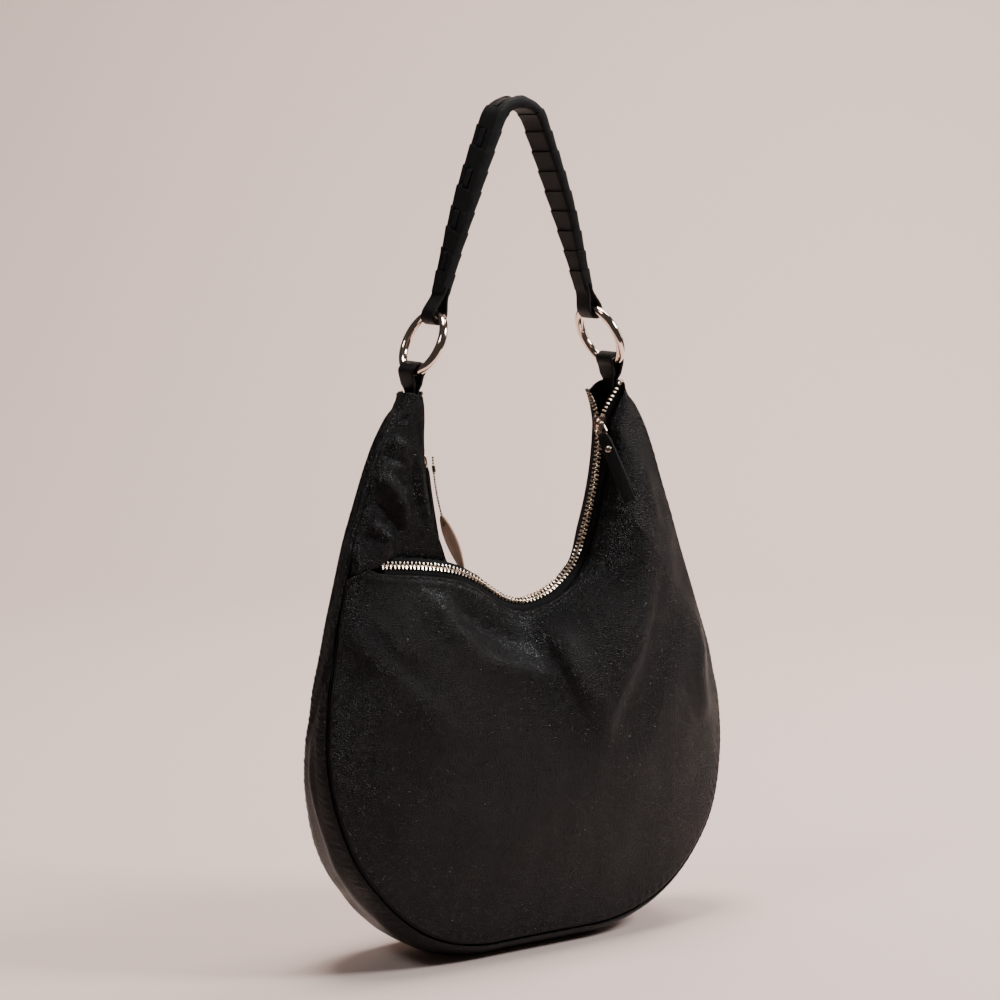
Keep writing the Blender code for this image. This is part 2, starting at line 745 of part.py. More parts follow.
def handle_wrap(name, mat):
    """Leather strip wound round the core, each turn a step over the last."""
    line = handle_line(57, 20.0)
    outer, inner = [], []
    for i, p in enumerate(line):
        side, up = handle_frame(line, i)
        end = min(i, len(line) - 1 - i)
        taper = interp([(0, 0.74), (6, 1.0)], end)
        step = 0.5 if i % 2 else 0.0
        outer.append(band_section(p, side, up, HANDLE_W * taper - 2 * step,
                                  HANDLE_T * interp([(0, 0.9), (6, 1.0)], end) - 1.6 - 2 * step, 1.8))
        inner.append(band_section(p, side, up, HANDLE_W * taper - 3.6, HANDLE_T - 3.3, 1.3))
    n = 8
    count = len(outer)
    verts = [q for ring in outer for q in ring] + [q for ring in inner for q in ring]
    half = count * n
    faces = []
    for i in range(count - 1):
        for j in range(n):
            k = (j + 1) % n
            a, b = i * n, (i + 1) * n
            faces.append((a + j, a + k, b + k, b + j))
            faces.append((half + b + j, half + b + k, half + a + k, half + a + j))
    last = (count - 1) * n
    for j in range(n):
        k = (j + 1) % n
        faces.append((half + j, half + k, k, j))
        faces.append((last + j, last + k, half + last + k, half + last + j))
    return finish(name, verts, faces, mat)


def handle_weave(name, mat):
    """Narrow strip laced lengthwise along the outer face of the wrapping."""
    line = handle_line(61, 24.0)
    rings = []
    for i, p in enumerate(line):
        side, up = handle_frame(line, i)
        lift = (HANDLE_T - 1.6) / 2 + 0.35 + 0.4 + (0.35 if (i // 2) % 2 else 0.0)
        rings.append([p + side * (-3.5) + up * (lift - 0.4), p + side * 3.5 + up * (lift - 0.4),
                      p + side * 3.5 + up * (lift + 0.4), p + side * (-3.5) + up * (lift + 0.4)])
    return sweep(name, rings, mat, shade=False)


# ---- hang tag ------------------------------------------------------------------------------------
def tag_pivot():
    """Where the ball chain hangs from the rear slider."""
    pivot, _ = slider_pivot(True)
    return Vector((-pivot.x, -pivot.y, pivot.z)) + Vector((6.4, -6.0, -2.0)) * MM


def tag_frame(on_tag=False):
    """Hanging frame of the ball chain, or of the tag at its lower end."""
    chain_down = Vector((0.155, -0.03, -1.0)).normalized()
    down = Vector((0.40, -0.05, -1.0)).normalized() if on_tag else chain_down
    top = tag_pivot() + chain_down * (41.0 * MM)
    top -= down * (41.0 * MM)
    x = Vector((0, 1, 0))
    x = (x - down * x.dot(down)).normalized()
    return basis(x, down.cross(x), down, top)


def ball_chain(name, mat):
    """Beads on a fine link, one body."""
    rings = []
    z = 0.0
    while z < 40.0:
        for dz, r in ((0.0, 0.35), (0.55, 0.95), (1.35, 0.95), (1.9, 0.35)):
            c = Vector((0, 0, z + dz))
            rings.append(round_section(c, Vector((1, 0, 0)), Vector((0, 1, 0)), r, 6))
        z += 2.5
    ob = sweep(name, rings, mat)
    place(ob, tag_frame(), False)
    return ob


def chain_connector(name, mat):
    """Clasp sleeve that closes the ball chain."""
    rings_out, rings_in = [], []
    for z in (5.0, 11.0):
        c = Vector((0, 0, z))
        rings_out.append(round_section(c, Vector((1, 0, 0)), Vector((0, 1, 0)), 1.9, 10))
        rings_in.append(round_section(c, Vector((1, 0, 0)), Vector((0, 1, 0)), 1.3, 10))
    verts = rings_out[0] + rings_out[1] + rings_in[0] + rings_in[1]
    faces = []
    for j in range(10):
        k = (j + 1) % 10
        faces.append((j, k, 10 + k, 10 + j))
        faces.append((30 + j, 30 + k, 20 + k, 20 + j))
        faces.append((20 + j, 20 + k, k, j))
        faces.append((10 + j, 10 + k, 30 + k, 30 + j))
    ob = finish(name, verts, faces, mat)
    place(ob, tag_frame(), False)
    return ob


def tag(name, mat):
    """Leaf-shaped leather tag with a hole for its eyelet."""
    outline = []
    for k in range(28):
        a = 2 * math.pi * k / 28
        f = (1 - math.cos(a)) / 2
        half = TAG_W / 2 * math.sin(math.pi * f ** 0.85) ** 0.8 if 0 < f < 1 else 0.0
        x = half if a < math.pi else -half
        outline.append((x, 40.6 + TAG_LEN * f))
    hole = [(1.9 * math.cos(2 * math.pi * k / 12), 47.5 + 1.9 * math.sin(2 * math.pi * k / 12))
            for k in range(12)]
    bm = bmesh.new()
    loops = []
    for pts in (outline, hole):
        vs = [bm.verts.new((x * MM, -0.7 * MM, z * MM)) for x, z in pts]
        es = [bm.edges.new((vs[k], vs[(k + 1) % len(vs)])) for k in range(len(vs))]
        loops += es
    bmesh.ops.triangle_fill(bm, use_beauty=True, edges=loops, normal=(0, 1, 0))
    res = bmesh.ops.extrude_face_region(bm, geom=list(bm.faces))
    moved = [g for g in res["geom"] if isinstance(g, bmesh.types.BMVert)]
    bmesh.ops.translate(bm, vec=(0, 1.4 * MM, 0), verts=moved)
    bmesh.ops.recalc_face_normals(bm, faces=bm.faces)
    mesh = bpy.data.meshes.new(name)
    bm.to_mesh(mesh)
    bm.free()
    ob = bpy.data.objects.new(name, mesh)
    bpy.context.scene.collection.objects.link(ob)
    mesh.materials.append(mat)
    place(ob, tag_frame(True), False)
    return ob


def tag_eyelet(name, mat):
    """Metal washer in the tag's hole."""
    rings = []
    for k in range(14):
        a = 2 * math.pi * k / 14
        radial = Vector((math.cos(a), 0, math.sin(a)))
        c = Vector((0, 0, 47.5))
        rings.append([c + radial * 0.8 + Vector((0, -1.1, 0)), c + radial * 1.6 + Vector((0, -1.1, 0)),
                      c + radial * 1.6 + Vector((0, 1.1, 0)), c + radial * 0.8 + Vector((0, 1.1, 0))])
    ob = sweep(name, rings, mat, closed=True)
    place(ob, tag_frame(True), False)
    return ob


# ---- assembly ---------------------------------------------------------------------------------------
def set_pivot(name, point, names, parent=None):
    """Empty on a joint axis that carries the moving pieces."""
    empty = bpy.data.objects.new(name, None)
    empty.empty_display_size = 0.01
    bpy.context.scene.collection.objects.link(empty)
    empty.location = point
    bpy.context.view_layer.update()
    children = [bpy.data.objects[n] for n in names]
    for ob in children:
        ob.parent = empty
        ob.matrix_parent_inverse = empty.matrix_world.inverted()
    if parent:
        empty.parent = parent
        empty.matrix_parent_inverse = parent.matrix_world.inverted()
    return empty


def build_side(side, turn):
    face_panel(side + "_panel", leather(side + "_panel_leather"), turn)
    piping(side + "_piping", leather(side + "_piping_leather"), turn)
    lining(side + "_lining", cloth(side + "_lining_cloth"), turn)
    for part, outer in (("outer", True), ("inner", False)):
        name = side + "_zip_" + part
        zip_tape(name + "_tape", cloth(name + "_tape_cloth"), outer, turn)
        zip_teeth(name + "_teeth", gold(name + "_teeth_metal"), outer, turn)
        zip_stop(name + "_stop", gold(name + "_stop_metal"), outer, turn)
    slider(side + "_slider", gold(side + "_slider_metal"), turn)
    pull_ring(side + "_pull_ring", gold(side + "_pull_ring_metal"), turn)
    pull_strap(side + "_pull_strap", leather(side + "_pull_strap_leather"), turn)
    pull_rivet(side + "_pull_rivet", gold(side + "_pull_rivet_metal"), turn)
    sign = -1.0 if turn else 1.0
    wide = REAR_WIDE if turn else 0.0
    centre = Vector((sign * (ZIP_TOP_X + wide - ZIP_ARC_R), 0, ZIP_TOP_Z)) * MM
    carrier = set_pivot(side + "_slider_pivot", centre, [side + "_slider"])
    point, _ = slider_pivot(turn)
    pulled = [side + "_pull_ring", side + "_pull_strap", side + "_pull_rivet"]
    set_pivot(side + "_pull_pivot", Vector((sign * point.x, sign * point.y, point.z)), pulled, carrier)
    return carrier


def build_handle():
    moving = ["handle_core", "handle_wrap", "handle_weave"]
    for side, sign in (("left", -1), ("right", 1)):
        o_ring(side + "_ring", gold(side + "_ring_metal"), sign)
        foot = ring_pivot(sign, False)
        loop_strap(side + "_tab", leather(side + "_tab_leather"), foot, ring_dir(sign),
                   Vector((0, 0, -1)), TAB_W, foot.z - TAB_FOOT_Z, 1.6, 9.0)
        loop_strap(side + "_handle_loop", leather(side + "_handle_loop_leather"),
                   ring_pivot(sign, True), -ring_dir(sign), limb_dir(sign), 16.0, 15.0, 1.6, 16.0)
        moving += [side + "_ring", side + "_tab", side + "_handle_loop"]
    handle_core("handle_core", leather("handle_core_leather"))
    handle_wrap("handle_wrap", leather("handle_wrap_leather"))
    handle_weave("handle_weave", leather("handle_weave_leather"))
    set_pivot("handle_pivot", Vector((0, 0, TAB_FOOT_Z)) * MM, moving)


def build_tag(carrier):
    ball_chain("ball_chain", gold("ball_chain_metal"))
    chain_connector("chain_connector", gold("chain_connector_metal"))
    tag("tag", material("tag_leather", (0.55, 0.36, 0.24), 0.0, 0.6))
    tag_eyelet("tag_eyelet", gold("tag_eyelet_metal"))
    set_pivot("tag_pivot", tag_pivot(), ["ball_chain", "chain_connector", "tag", "tag_eyelet"], carrier)


def main():
    clear_scene()
    build_side("front", False)
    carrier = build_side("rear", True)
    middle_panel("middle_panel", leather("middle_panel_leather"))
    gusset("gusset", leather("gusset_leather"))
    box("base_board", (interp(SETTLE, 0), 0, 2.75), (78, 28, 1.3),
        material("base_board_board", (0.2, 0.18, 0.15), 0, 0.8))
    build_handle()
    build_tag(carrier)


main()
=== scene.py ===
"""Fine surface of a black leather hobo bag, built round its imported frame.

The bag stands at the origin in metres, +Z up, with its front towards -Y. Sizes inside the
functions are millimetres and become metres when a mesh is made.
"""
import math

import bpy
import numpy as np
from mathutils import Matrix, Vector


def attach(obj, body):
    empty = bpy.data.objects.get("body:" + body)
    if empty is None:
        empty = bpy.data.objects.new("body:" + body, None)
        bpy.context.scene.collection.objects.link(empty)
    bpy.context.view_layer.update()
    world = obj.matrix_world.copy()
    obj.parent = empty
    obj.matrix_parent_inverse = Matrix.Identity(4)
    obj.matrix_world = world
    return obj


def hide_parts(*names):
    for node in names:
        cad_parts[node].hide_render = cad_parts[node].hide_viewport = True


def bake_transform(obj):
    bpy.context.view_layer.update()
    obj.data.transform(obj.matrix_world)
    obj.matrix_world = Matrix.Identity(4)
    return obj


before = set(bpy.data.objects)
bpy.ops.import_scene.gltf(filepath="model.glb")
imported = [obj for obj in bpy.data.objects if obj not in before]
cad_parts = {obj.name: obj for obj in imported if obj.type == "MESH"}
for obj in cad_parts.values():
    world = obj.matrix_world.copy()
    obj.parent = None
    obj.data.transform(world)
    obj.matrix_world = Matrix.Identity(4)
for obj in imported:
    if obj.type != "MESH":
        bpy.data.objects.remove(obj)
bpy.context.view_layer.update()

bl_info = {
    "name": "Leather hobo bag",
    "version": (1, 0, 0),
    "blender": (4, 5, 0),
    "location": "View3D > Sidebar > Bag",
    "description": "Builds the leather, zips, handle and hardware of a hobo bag",
    "category": "Add Mesh",
}

MM = 0.001

# ---- the bag's measures, millimetres ---------------------------------------------------
SEAM_Z = 12.0            # seam line over the floor
HORN_TOP = 402.0
HORN_FROM = 276.0        # lowest point of a face's own side on its zipped horn
# by height: half width of the outline, half depth at the seams, the gusset's swell and how far
# the soft body has set to one side
OUTLINE = [(12, 48), (14, 64), (18, 80), (25, 97), (36, 114), (52, 131), (75, 148.5), (100, 159),
           (130, 165.5), (160, 166.5), (200, 161), (250, 148.5), (300, 134.5), (345, 119.5),
           (375, 108), (402, 97)]
OUTLINE_KNOTS = (402, 390, 375, 360, 345, 322, 300, 275, 250, 225, 200, 180, 160, 130, 100, 75,
                 52, 36, 25, 18, 14, 12)
SEAM_Y = [(12, 38), (30, 36.5), (55, 33), (90, 26), (130, 19), (160, 15), (213, 10.4),
          (300, 8.0), (345, 7.5), (378, 7.6), (402, 8.0)]
BULGE = [(12, 12), (22, 11.2), (40, 9.0), (100, 6.5), (200, 3.6), (300, 1.8), (402, 1.0)]
SETTLE = [(0, 3.5), (12, 4.0), (40, 6.0), (150, 6.5), (210, 4.5), (250, 2.0), (290, 0.0),
          (400, 0.0)]
ZIP_ARC_R = 225.0        # the zip's upright limb is an arc, from its top down by its degrees
ZIP_TOP_X = 72.0
ZIP_TOP_Z = 370.0
LIMB_LEAN = 35.0         # how far the zip's limb faces the front
ZIP_ARC_DEG = 23.5
REAR_WIDE = 5.0          # the rear dip is wider by this
REAR_REST_DEG = 3.8      # the rear slider rests this far down its arc
DIP_Z = 247.0            # lowest point of the front zip
RING_MID_R = 22.0
RING_WIRE_R = 3.0
RING_X = 74.0
RING_Z = 433.0
RING_TILT = 25.0
TAB_FOOT_Z = 403.6       # where the tabs leave the horns
HANDLE_TOP = 601.0
HANDLE_T = 9.0
HANDLE_LEAN = 20.0
HANDLE_BEND_R = 19.0     # radius of the bend at the top
HANDLE_START = 14.0      # from the top of the ring to the foot of the wrapped grip
HANDLE_TAPER = [(0, 0.60), (10, 0.60), (24, 0.66), (40, 0.80), (66, 0.97), (90, 1.0)]
GRIP_HALF = 11.2         # half the flat of the grip, without its round edges
LACE_Y = 1.8             # the lace lies a little behind the middle of the outer face
SLIDER_LOW = 2.35        # underside of a slider's top plate over the tape
PIVOT_LIFT = 2.6         # pivot of a pull over that underside
PULL_LEN = 62.0
STUD_DOWN = 20.5         # from the pivot down the strap
CHAIN_LEN = 41.0
LEAF_TOP = 40.6          # the leaf-shaped tag: its top under the pivot, length and half width
LEAF_LEN = 46.0
LEAF_HALF = 8.5
EYELET_DOWN = 47.5
FRONT_PULL_DOWN = (0.15, -0.56, -1.0)
REAR_PULL_DOWN = (-0.21, -0.10, -1.0)
VALLEY = 1.4             # depth of the turned seam between a face and the gusset
SEAM_END = VALLEY + 0.1  # where the leather starts beside the seam line
SEAM_ROLL = 2.8          # radius of the leather's roll into a seam
STITCH_IN = 2.6          # from the zip edge to the topstitching
LEATHER_T = 1.3
MIDDLE_T = 1.2
TAPE_T = 0.5
TAB_T = 2.2

# the stage, metres and degrees
CAMERA_TURN = -33.0
CAMERA_FAR = 1.82
FOCAL = 2600.0           # focal length in thousandths of the frame's width
BACK = (0.545, 0.839)    # level direction from the camera past the bag
PAPER_BEND = 0.9         # radius of the paper's bend into the wall

# folds of the soft faces: points (x, z), half width and height; a minus makes a hollow
FRONT_FOLDS = [
    ([(-88, 270), (-80, 256), (-66, 234), (-44, 214), (-14, 202), (14, 196)], 9.5, 3.0),
    ([(-62, 266), (-50, 246), (-32, 230), (-6, 220)], 11.0, -3.0),
    ([(-146, 246), (-138, 235), (-117, 205), (-97, 185), (-76, 168)], 10.0, 2.2),
    ([(-141, 262), (-124, 240), (-106, 216)], 7.0, 1.2),
    ([(-138, 250), (-118, 224), (-96, 200)], 7.0, -1.2),
    ([(124, 250), (106, 214), (86, 180), (72, 150)], 14.0, -1.8),
    ([(146, 214), (142, 180), (146, 140)], 9.0, 2.2),
    ([(-140, 150), (-128, 120), (-108, 92)], 12.0, 1.8),
    ([(95, 345), (103, 318), (112, 292)], 7.0, 1.0),
]
REAR_FOLDS = [
    ([(-88, 264), (-70, 240), (-46, 216), (-8, 200)], 9.0, 2.4),
    ([(-60, 258), (-40, 232), (-4, 214)], 9.0, -2.6),
    ([(-142, 226), (-120, 196), (-94, 170)], 9.0, 2.2),
    ([(128, 240), (108, 200), (90, 160)], 12.0, -2.0),
    ([(60, 120), (20, 96), (-30, 84)], 16.0, 1.6),
]
SAG = [(-14, 268), (5, 238), (19, 204), (34, 178), (46, 170), (60, 190), (77, 216), (105, 271),
       (118, 296)]      # lower edge of the soft shelf the weight pulls below the dip
HORN_FOLDS = [
    ([(-114, 373), (-104, 367), (-92, 362)], 3.6, 1.3),
    ([(-114, 361), (-103, 356), (-92, 351)], 3.2, -1.2),
    ([(-116, 347), (-106, 336), (-96, 322), (-90, 306)], 5.0, 2.2),
    ([(-121, 330), (-110, 322), (-101, 310), (-97, 299)], 4.0, -1.6),
    ([(-124, 314), (-114, 306), (-104, 301)], 3.6, 1.8),
    ([(-90, 356), (-86, 334), (-82, 310)], 4.0, -2.0),
    ([(-79, 350), (-76, 330), (-74, 305)], 3.0, 1.0),
    ([(-108, 388), (-100, 384), (-92, 384)], 3.0, -0.9),
]


# ---- curves and grids ------------------------------------------------------------------
def at(table, value):
    """Straight-line look-up in a list of pairs."""
    a = np.array(table, float)
    return np.interp(value, a[:, 0], a[:, 1])


def eased(table, value):
    """Smooth look-up in a list of pairs, without kinks at its points."""
    a = np.array(table, float)
    x, y = a[:, 0], a[:, 1]
    slope = np.gradient(y, x)
    v = np.clip(value, x[0], x[-1])
    i = np.clip(np.searchsorted(x, v, side="right") - 1, 0, len(x) - 2)
    h = x[i + 1] - x[i]
    t = (v - x[i]) / h
    return ((2 * t ** 3 - 3 * t ** 2 + 1) * y[i] + (t ** 3 - 2 * t ** 2 + t) * h * slope[i]
            + (3 * t ** 2 - 2 * t ** 3) * y[i + 1] + (t ** 3 - t ** 2) * h * slope[i + 1])


def smooth(a, b, value):
    """Soft step from 0 at a to 1 at b."""
    t = np.clip((value - a) / (b - a), 0.0, 1.0)
    return t * t * (3 - 2 * t)


def unit(a):
    """Vectors of length one."""
    return a / np.maximum(np.linalg.norm(a, axis=-1, keepdims=True), 1e-9)


def dot(a, b):
    return (a * b).sum(-1, keepdims=True)


def aside(t):
    """Directions at right angles to t in the plane of the bag's outline."""
    return np.stack([t[:, 2], 0 * t[:, 0], -t[:, 0]], -1)


def spline(points, steps):
    """Curve through the given points."""
    p = np.array(points, float)
    p = np.vstack([2 * p[0] - p[1], p, 2 * p[-1] - p[-2]])
    a, b, c, d = p[:-3, None], p[1:-2, None], p[2:-1, None], p[3:, None]
    t = (np.arange(steps) / steps)[None, :, None]
    out = 0.5 * (2 * b + (c - a) * t + (2 * a - 5 * b + 4 * c - d) * t ** 2
                 + (3 * b - a - 3 * c + d) * t ** 3)
    return np.vstack([out.reshape(-1, p.shape[1]), p[-2]])


def lengths(points):
    """Distance along a polyline at each of its points."""
    return np.r_[0.0, np.cumsum(np.linalg.norm(np.diff(points, axis=0), axis=1))]


def along(points, distance):
    """Points at given distances along a polyline."""
    s = lengths(points)
    return np.stack([np.interp(distance, s, points[:, k]) for k in range(points.shape[1])], -1)


def evenly(points, count):
    """Evenly spaced points along a polyline."""
    return along(points, np.linspace(0, lengths(points)[-1], count))


def ripple(s, seed, wave):
    """Irregular wave of about the given length, between -1 and 1."""
    rng = np.random.default_rng(seed)
    out = 0.0
    for k in range(4):
        out = out + np.sin(2 * math.pi * s / (wave * rng.uniform(0.7, 1.5)) + rng.uniform(0, 6.3))
    return out / 4


def swells(points, seed, low, high, count=9):
    """Gentle uneven surface from a few plane waves, about -1 to 1."""
    rng = np.random.default_rng(seed)
    out = np.zeros(points.shape[:-1])
    for k in range(count):
        way = unit(rng.normal(size=3))
        out += np.sin(2 * math.pi * (points @ way) / rng.uniform(low, high) + rng.uniform(0, 6.3))
    return out / math.sqrt(count)


def fold(points, route, width, height):
    """Ridge or hollow along a route over a face, fading at its ends."""
    route = spline(route, 8)
    x, z = points[..., 0], points[..., 2]
    best = np.full(x.shape, 1e9)
    where = np.zeros(x.shape)
    for k, (a, b) in enumerate(zip(route, route[1:])):
        d = b - a
        t = np.clip(((x - a[0]) * d[0] + (z - a[1]) * d[1]) / max(d @ d, 1e-9), 0, 1)
        r = np.hypot(x - a[0] - t * d[0], z - a[1] - t * d[1])
        nearer = r < best
        best = np.where(nearer, r, best)
        where = np.where(nearer, (k + t) / (len(route) - 1), where)
    ends = smooth(-0.02, 0.3, where) * (1 - smooth(0.7, 1.02, where))
    return height * np.exp(-(best / width) ** 2) * (0.25 + 0.75 * ends)


def shelf(points):
    """Soft shelf under the dip: long slope above its edge, short drop below it."""
    x = points[..., 0]
    t = (points[..., 2] - eased(SAG, x)) * np.where(x < 46, 0.55, 0.62)
    fade = smooth(-12, 22, x) * (1 - smooth(78, 112, x))
    return 4.6 * fade * np.where(t > 0, np.exp(-(t / 30.0) ** 2), np.exp(-(t / 8.5) ** 2))


# ---- mesh makers -----------------------------------------------------------------------
def alone(ob):
    """Leave only this object selected and active."""
    clear_selection()
    ob.select_set(True)
    bpy.context.view_layer.objects.active = ob


def clear_selection():
    for other in list(bpy.context.selected_objects):
        other.select_set(False)


def added(primitive, **settings):
    """A new primitive, the only thing selected."""
    clear_selection()
    primitive(**settings)
    return bpy.context.object


def apply_modifier(ob, kind, **settings):
    """Add a modifier with these settings and apply it."""
    alone(ob)
    mod = ob.modifiers.new(kind.lower(), kind)
    for key, value in settings.items():
        setattr(mod, key, value)
    bpy.ops.object.modifier_apply(modifier=mod.name)


def outwards(ob):
    """Turn all faces of a closed piece outwards."""
    alone(ob)
    bpy.ops.object.mode_set(mode="EDIT")
    bpy.ops.mesh.select_all(action="SELECT")
    bpy.ops.mesh.normals_make_consistent(inside=False)
    bpy.ops.object.mode_set(mode="OBJECT")


def dress(ob, name, mat, body, slot, smooth_angle=None, replaces=None):
    """Name a finished piece, give it its material and fasten it to its body.

    It stands for the node of its slot unless other nodes, or none, are listed.
    """
    ob.name = name
    ob.data.name = name
    ob.data.materials.clear()
    ob.data.materials.append(mat)
    alone(ob)
    if smooth_angle is None:
        bpy.ops.object.shade_smooth()
    else:
        bpy.ops.object.shade_smooth_by_angle(angle=math.radians(smooth_angle))
    if body:
        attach(ob, body)
    if replaces is None:
        replaces = [slot]
    if replaces:
        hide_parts(*replaces)


def sheet(grid, thick, offset=-1.0, outside=None):
    """Closed leather or cloth sheet through a grid of points, rows by columns."""
    rows, cols = grid.shape[:2]
    if outside is not None:
        du, dv = np.gradient(grid, axis=1), np.gradient(grid, axis=0)
        if (np.cross(du, dv) * outside).sum() < 0:
            grid = grid[::-1]
    ob = added(bpy.ops.mesh.primitive_grid_add, x_subdivisions=cols - 1,
               y_subdivisions=rows - 1, size=1.0)
    flat = np.empty(len(ob.data.vertices) * 3, np.float32)
    ob.data.vertices.foreach_get("co", flat)
    flat = flat.reshape(-1, 3)
    col = np.rint((flat[:, 0] + 0.5) * (cols - 1)).astype(int)
    row = np.rint((flat[:, 1] + 0.5) * (rows - 1)).astype(int)
    ob.data.vertices.foreach_set("co", (grid[row, col] * MM).astype(np.float32).ravel())
    ob.data.update()
    apply_modifier(ob, "SOLIDIFY", thickness=thick * MM, offset=offset)
    return ob


def solid(points, faces):
    """Closed piece from points in millimetres and their faces."""
    mesh = bpy.data.meshes.new("solid")
    mesh.from_pydata((points * MM).tolist(), [], faces)
    ob = bpy.data.objects.new("solid", mesh)
    bpy.context.scene.collection.objects.link(ob)
    outwards(ob)
    return ob


def loft(sections, closed=False):
    """Solid through matching closed sections, an array of sections by points."""
    n, m = sections.shape[:2]
    i = np.arange(n if closed else n - 1)[:, None]
    a, b = i * m, (i + 1) % n * m
    j = np.arange(m)[None, :]
    k = (j + 1) % m
    faces = np.stack([a + j, a + k, b + k, b + j], -1).reshape(-1, 4).tolist()
    if not closed:
        faces += [list(range(m - 1, -1, -1)), list(range((n - 1) * m, n * m))]
    return solid(sections.reshape(-1, 3), faces)


def strap_section(width, thick, corner, steps=3):
    """Rounded rectangle in its own plane, across by up."""
    pts = []
    for cx, cy, start in ((1, 1, 0), (-1, 1, 90), (-1, -1, 180), (1, -1, 270)):
        for k in range(steps + 1):
            a = math.radians(start + 90 * k / steps)
            pts.append((cx * (width / 2 - corner) + corner * math.cos(a),
                        cy * (thick / 2 - corner) + corner * math.sin(a)))
    return np.array(pts)


def strap(line, across, width, thick, corner=0.6):
    """Leather strap along a line, its width along the across direction."""
    line = np.asarray(line, float)
    t = unit(np.gradient(line, axis=0))
    across = np.broadcast_to(np.asarray(across, float), line.shape)
    across = unit(across - t * dot(across, t))
    up = np.cross(t, across)
    width = np.broadcast_to(width, len(line))
    sections = []
    for i in range(len(line)):
        shape = strap_section(width[i], thick, min(corner, thick * 0.48))
        sections.append(line[i] + shape[:, :1] * across[i] + shape[:, 1:] * up[i])
    return loft(np.array(sections))


def cord_solid(line, radius, sides):
    """Round cord or wire along a line."""
    line = np.asarray(line, float)
    t = unit(np.gradient(line, axis=0))
    ref = np.where(np.abs(t[:, 1:2]) < 0.9, [[0.0, 1.0, 0.0]], [[1.0, 0.0, 0.0]])
    side = unit(np.cross(t, ref))
    up = np.cross(side, t)
    a = 2 * math.pi * np.arange(sides) / sides
    ring = (side[:, None] * np.cos(a)[None, :, None] + up[:, None] * np.sin(a)[None, :, None])
    return loft(line[:, None] + ring * radius)


def copies(source, frames):
    """One object made of a small piece repeated at each frame (point, x, y, z axes)."""
    count = len(source.data.vertices)
    co = np.empty(count * 3, np.float32)
    source.data.vertices.foreach_get("co", co)
    co = co.reshape(-1, 3) / MM
    verts, faces = [], []
    own = [list(p.vertices) for p in source.data.polygons]
    for k, (p, x, y, z) in enumerate(frames):
        verts.append(p + co[:, :1] * x + co[:, 1:2] * y + co[:, 2:] * z)
        faces += [[v + k * count for v in f] for f in own]
    bpy.data.objects.remove(source, do_unlink=True)
    return solid(np.vstack(verts), faces)


def join(*parts):
    """Join several objects into the first."""
    alone(parts[0])
    for ob in parts[1:]:
        ob.select_set(True)
    bpy.ops.object.join()
    return parts[0]


def cut_below(ob, height):
    """Keep what is above a height, and close the cut."""
    alone(ob)
    bpy.ops.object.mode_set(mode="EDIT")
    bpy.ops.mesh.select_all(action="SELECT")
    bpy.ops.mesh.bisect(plane_co=(0, 0, height), plane_no=(0, 0, 1), clear_inner=True,
                        use_fill=True)
    bpy.ops.object.mode_set(mode="OBJECT")
    outwards(ob)


def place(ob, matrix):
    """Move a piece built at the origin to its frame, in its mesh."""
    ob.data.transform(matrix)
    ob.data.update()


def basis(x, y, z, point):
    """Placement whose axes are x, y and z; the point is in millimetres."""
    m = Matrix.Identity(4)
    for k, axis in enumerate((x, y, z)):
        for r in range(3):
            m[r][k] = axis[r]
    for r in range(3):
        m[r][3] = point[r] * MM
    return m


def stitches(line, normal, pitch, length, thread):
    """Row of sewn stitches lying on a surface along a line."""
    ob = added(bpy.ops.mesh.primitive_uv_sphere_add, segments=8, ring_count=5, radius=0.5 * MM)
    place(ob, Matrix.Diagonal((length, thread, thread * 0.8, 1.0)))
    s = lengths(line)
    spots = np.arange(pitch, s[-1] - pitch, pitch)
    p, q = along(line, spots - 0.3), along(line, spots + 0.3)
    n = unit(np.stack([np.interp(spots, s, normal[:, k]) for k in range(3)], -1))
    x = unit(q - p)
    y = unit(np.cross(n, x))
    z = np.cross(x, y)
    return copies(ob, list(zip((p + q) / 2, x, y, z)))


# ---- outline, zips and frames of the bag -----------------------------------------------
def turned(points, turn):
    """Half a turn about the vertical for the rear side."""
    return points * np.array([-1.0, -1.0, 1.0]) if turn else points.copy()


def settled(points):
    """Soft body set to one side near the floor, and tucked in at the horn tips."""
    p = points.copy()
    p[..., 0] += eased(SETTLE, p[..., 2])
    tuck = smooth(358, 406, p[..., 2]) * smooth(82, 98, np.abs(p[..., 0]))
    p[..., 0] -= np.sign(p[..., 0]) * 7.0 * tuck
    off = np.abs(np.abs(p[..., 0]) - 83.0)
    p[..., 2] -= smooth(380, 402, p[..., 2]) * np.minimum(6.0, 6.0 * (off / 13.0) ** 2)
    return p


def outline(count, z_from=HORN_TOP):
    """Seam outline in the XZ plane, from one side down round the bottom to the other."""
    left = [(-at(OUTLINE, z), 0, z) for z in OUTLINE_KNOTS if z < z_from - 4]
    left.insert(0, (-at(OUTLINE, z_from), 0, z_from))
    right = [(-x, 0, z) for x, _, z in reversed(left) if z < HORN_TOP - 4]
    right += [(at(OUTLINE, z), 0, z) for z in (300, 322, 345, 360, 375, 390)
              if z >= z_from - 4 and z > right[-1][2] + 4]
    right.append((at(OUTLINE, HORN_TOP), 0, HORN_TOP))
    base = [(x, 0, SEAM_Z) for x in (-30, -12, 12, 30)]
    return evenly(spline(left + base + right, 24), count)


def outward(line):
    """Directions pointing away from the bag in the plane of its outline."""
    return aside(unit(np.gradient(line, axis=0)))


def zip_y(x, z):
    """How far in front of the middle the zip runs."""
    left = eased([(0, 7.5), (20, 8.8), (40, 10.6), (60, 12.4), (80, 13.2), (112, 12.8),
                  (127, 12.2)], -x)
    right = at([(247, 7.5), (262, 6.4), (282, 4.0), (404, 4.0)], z)
    return -np.where(np.asarray(x) < 0, left, right)


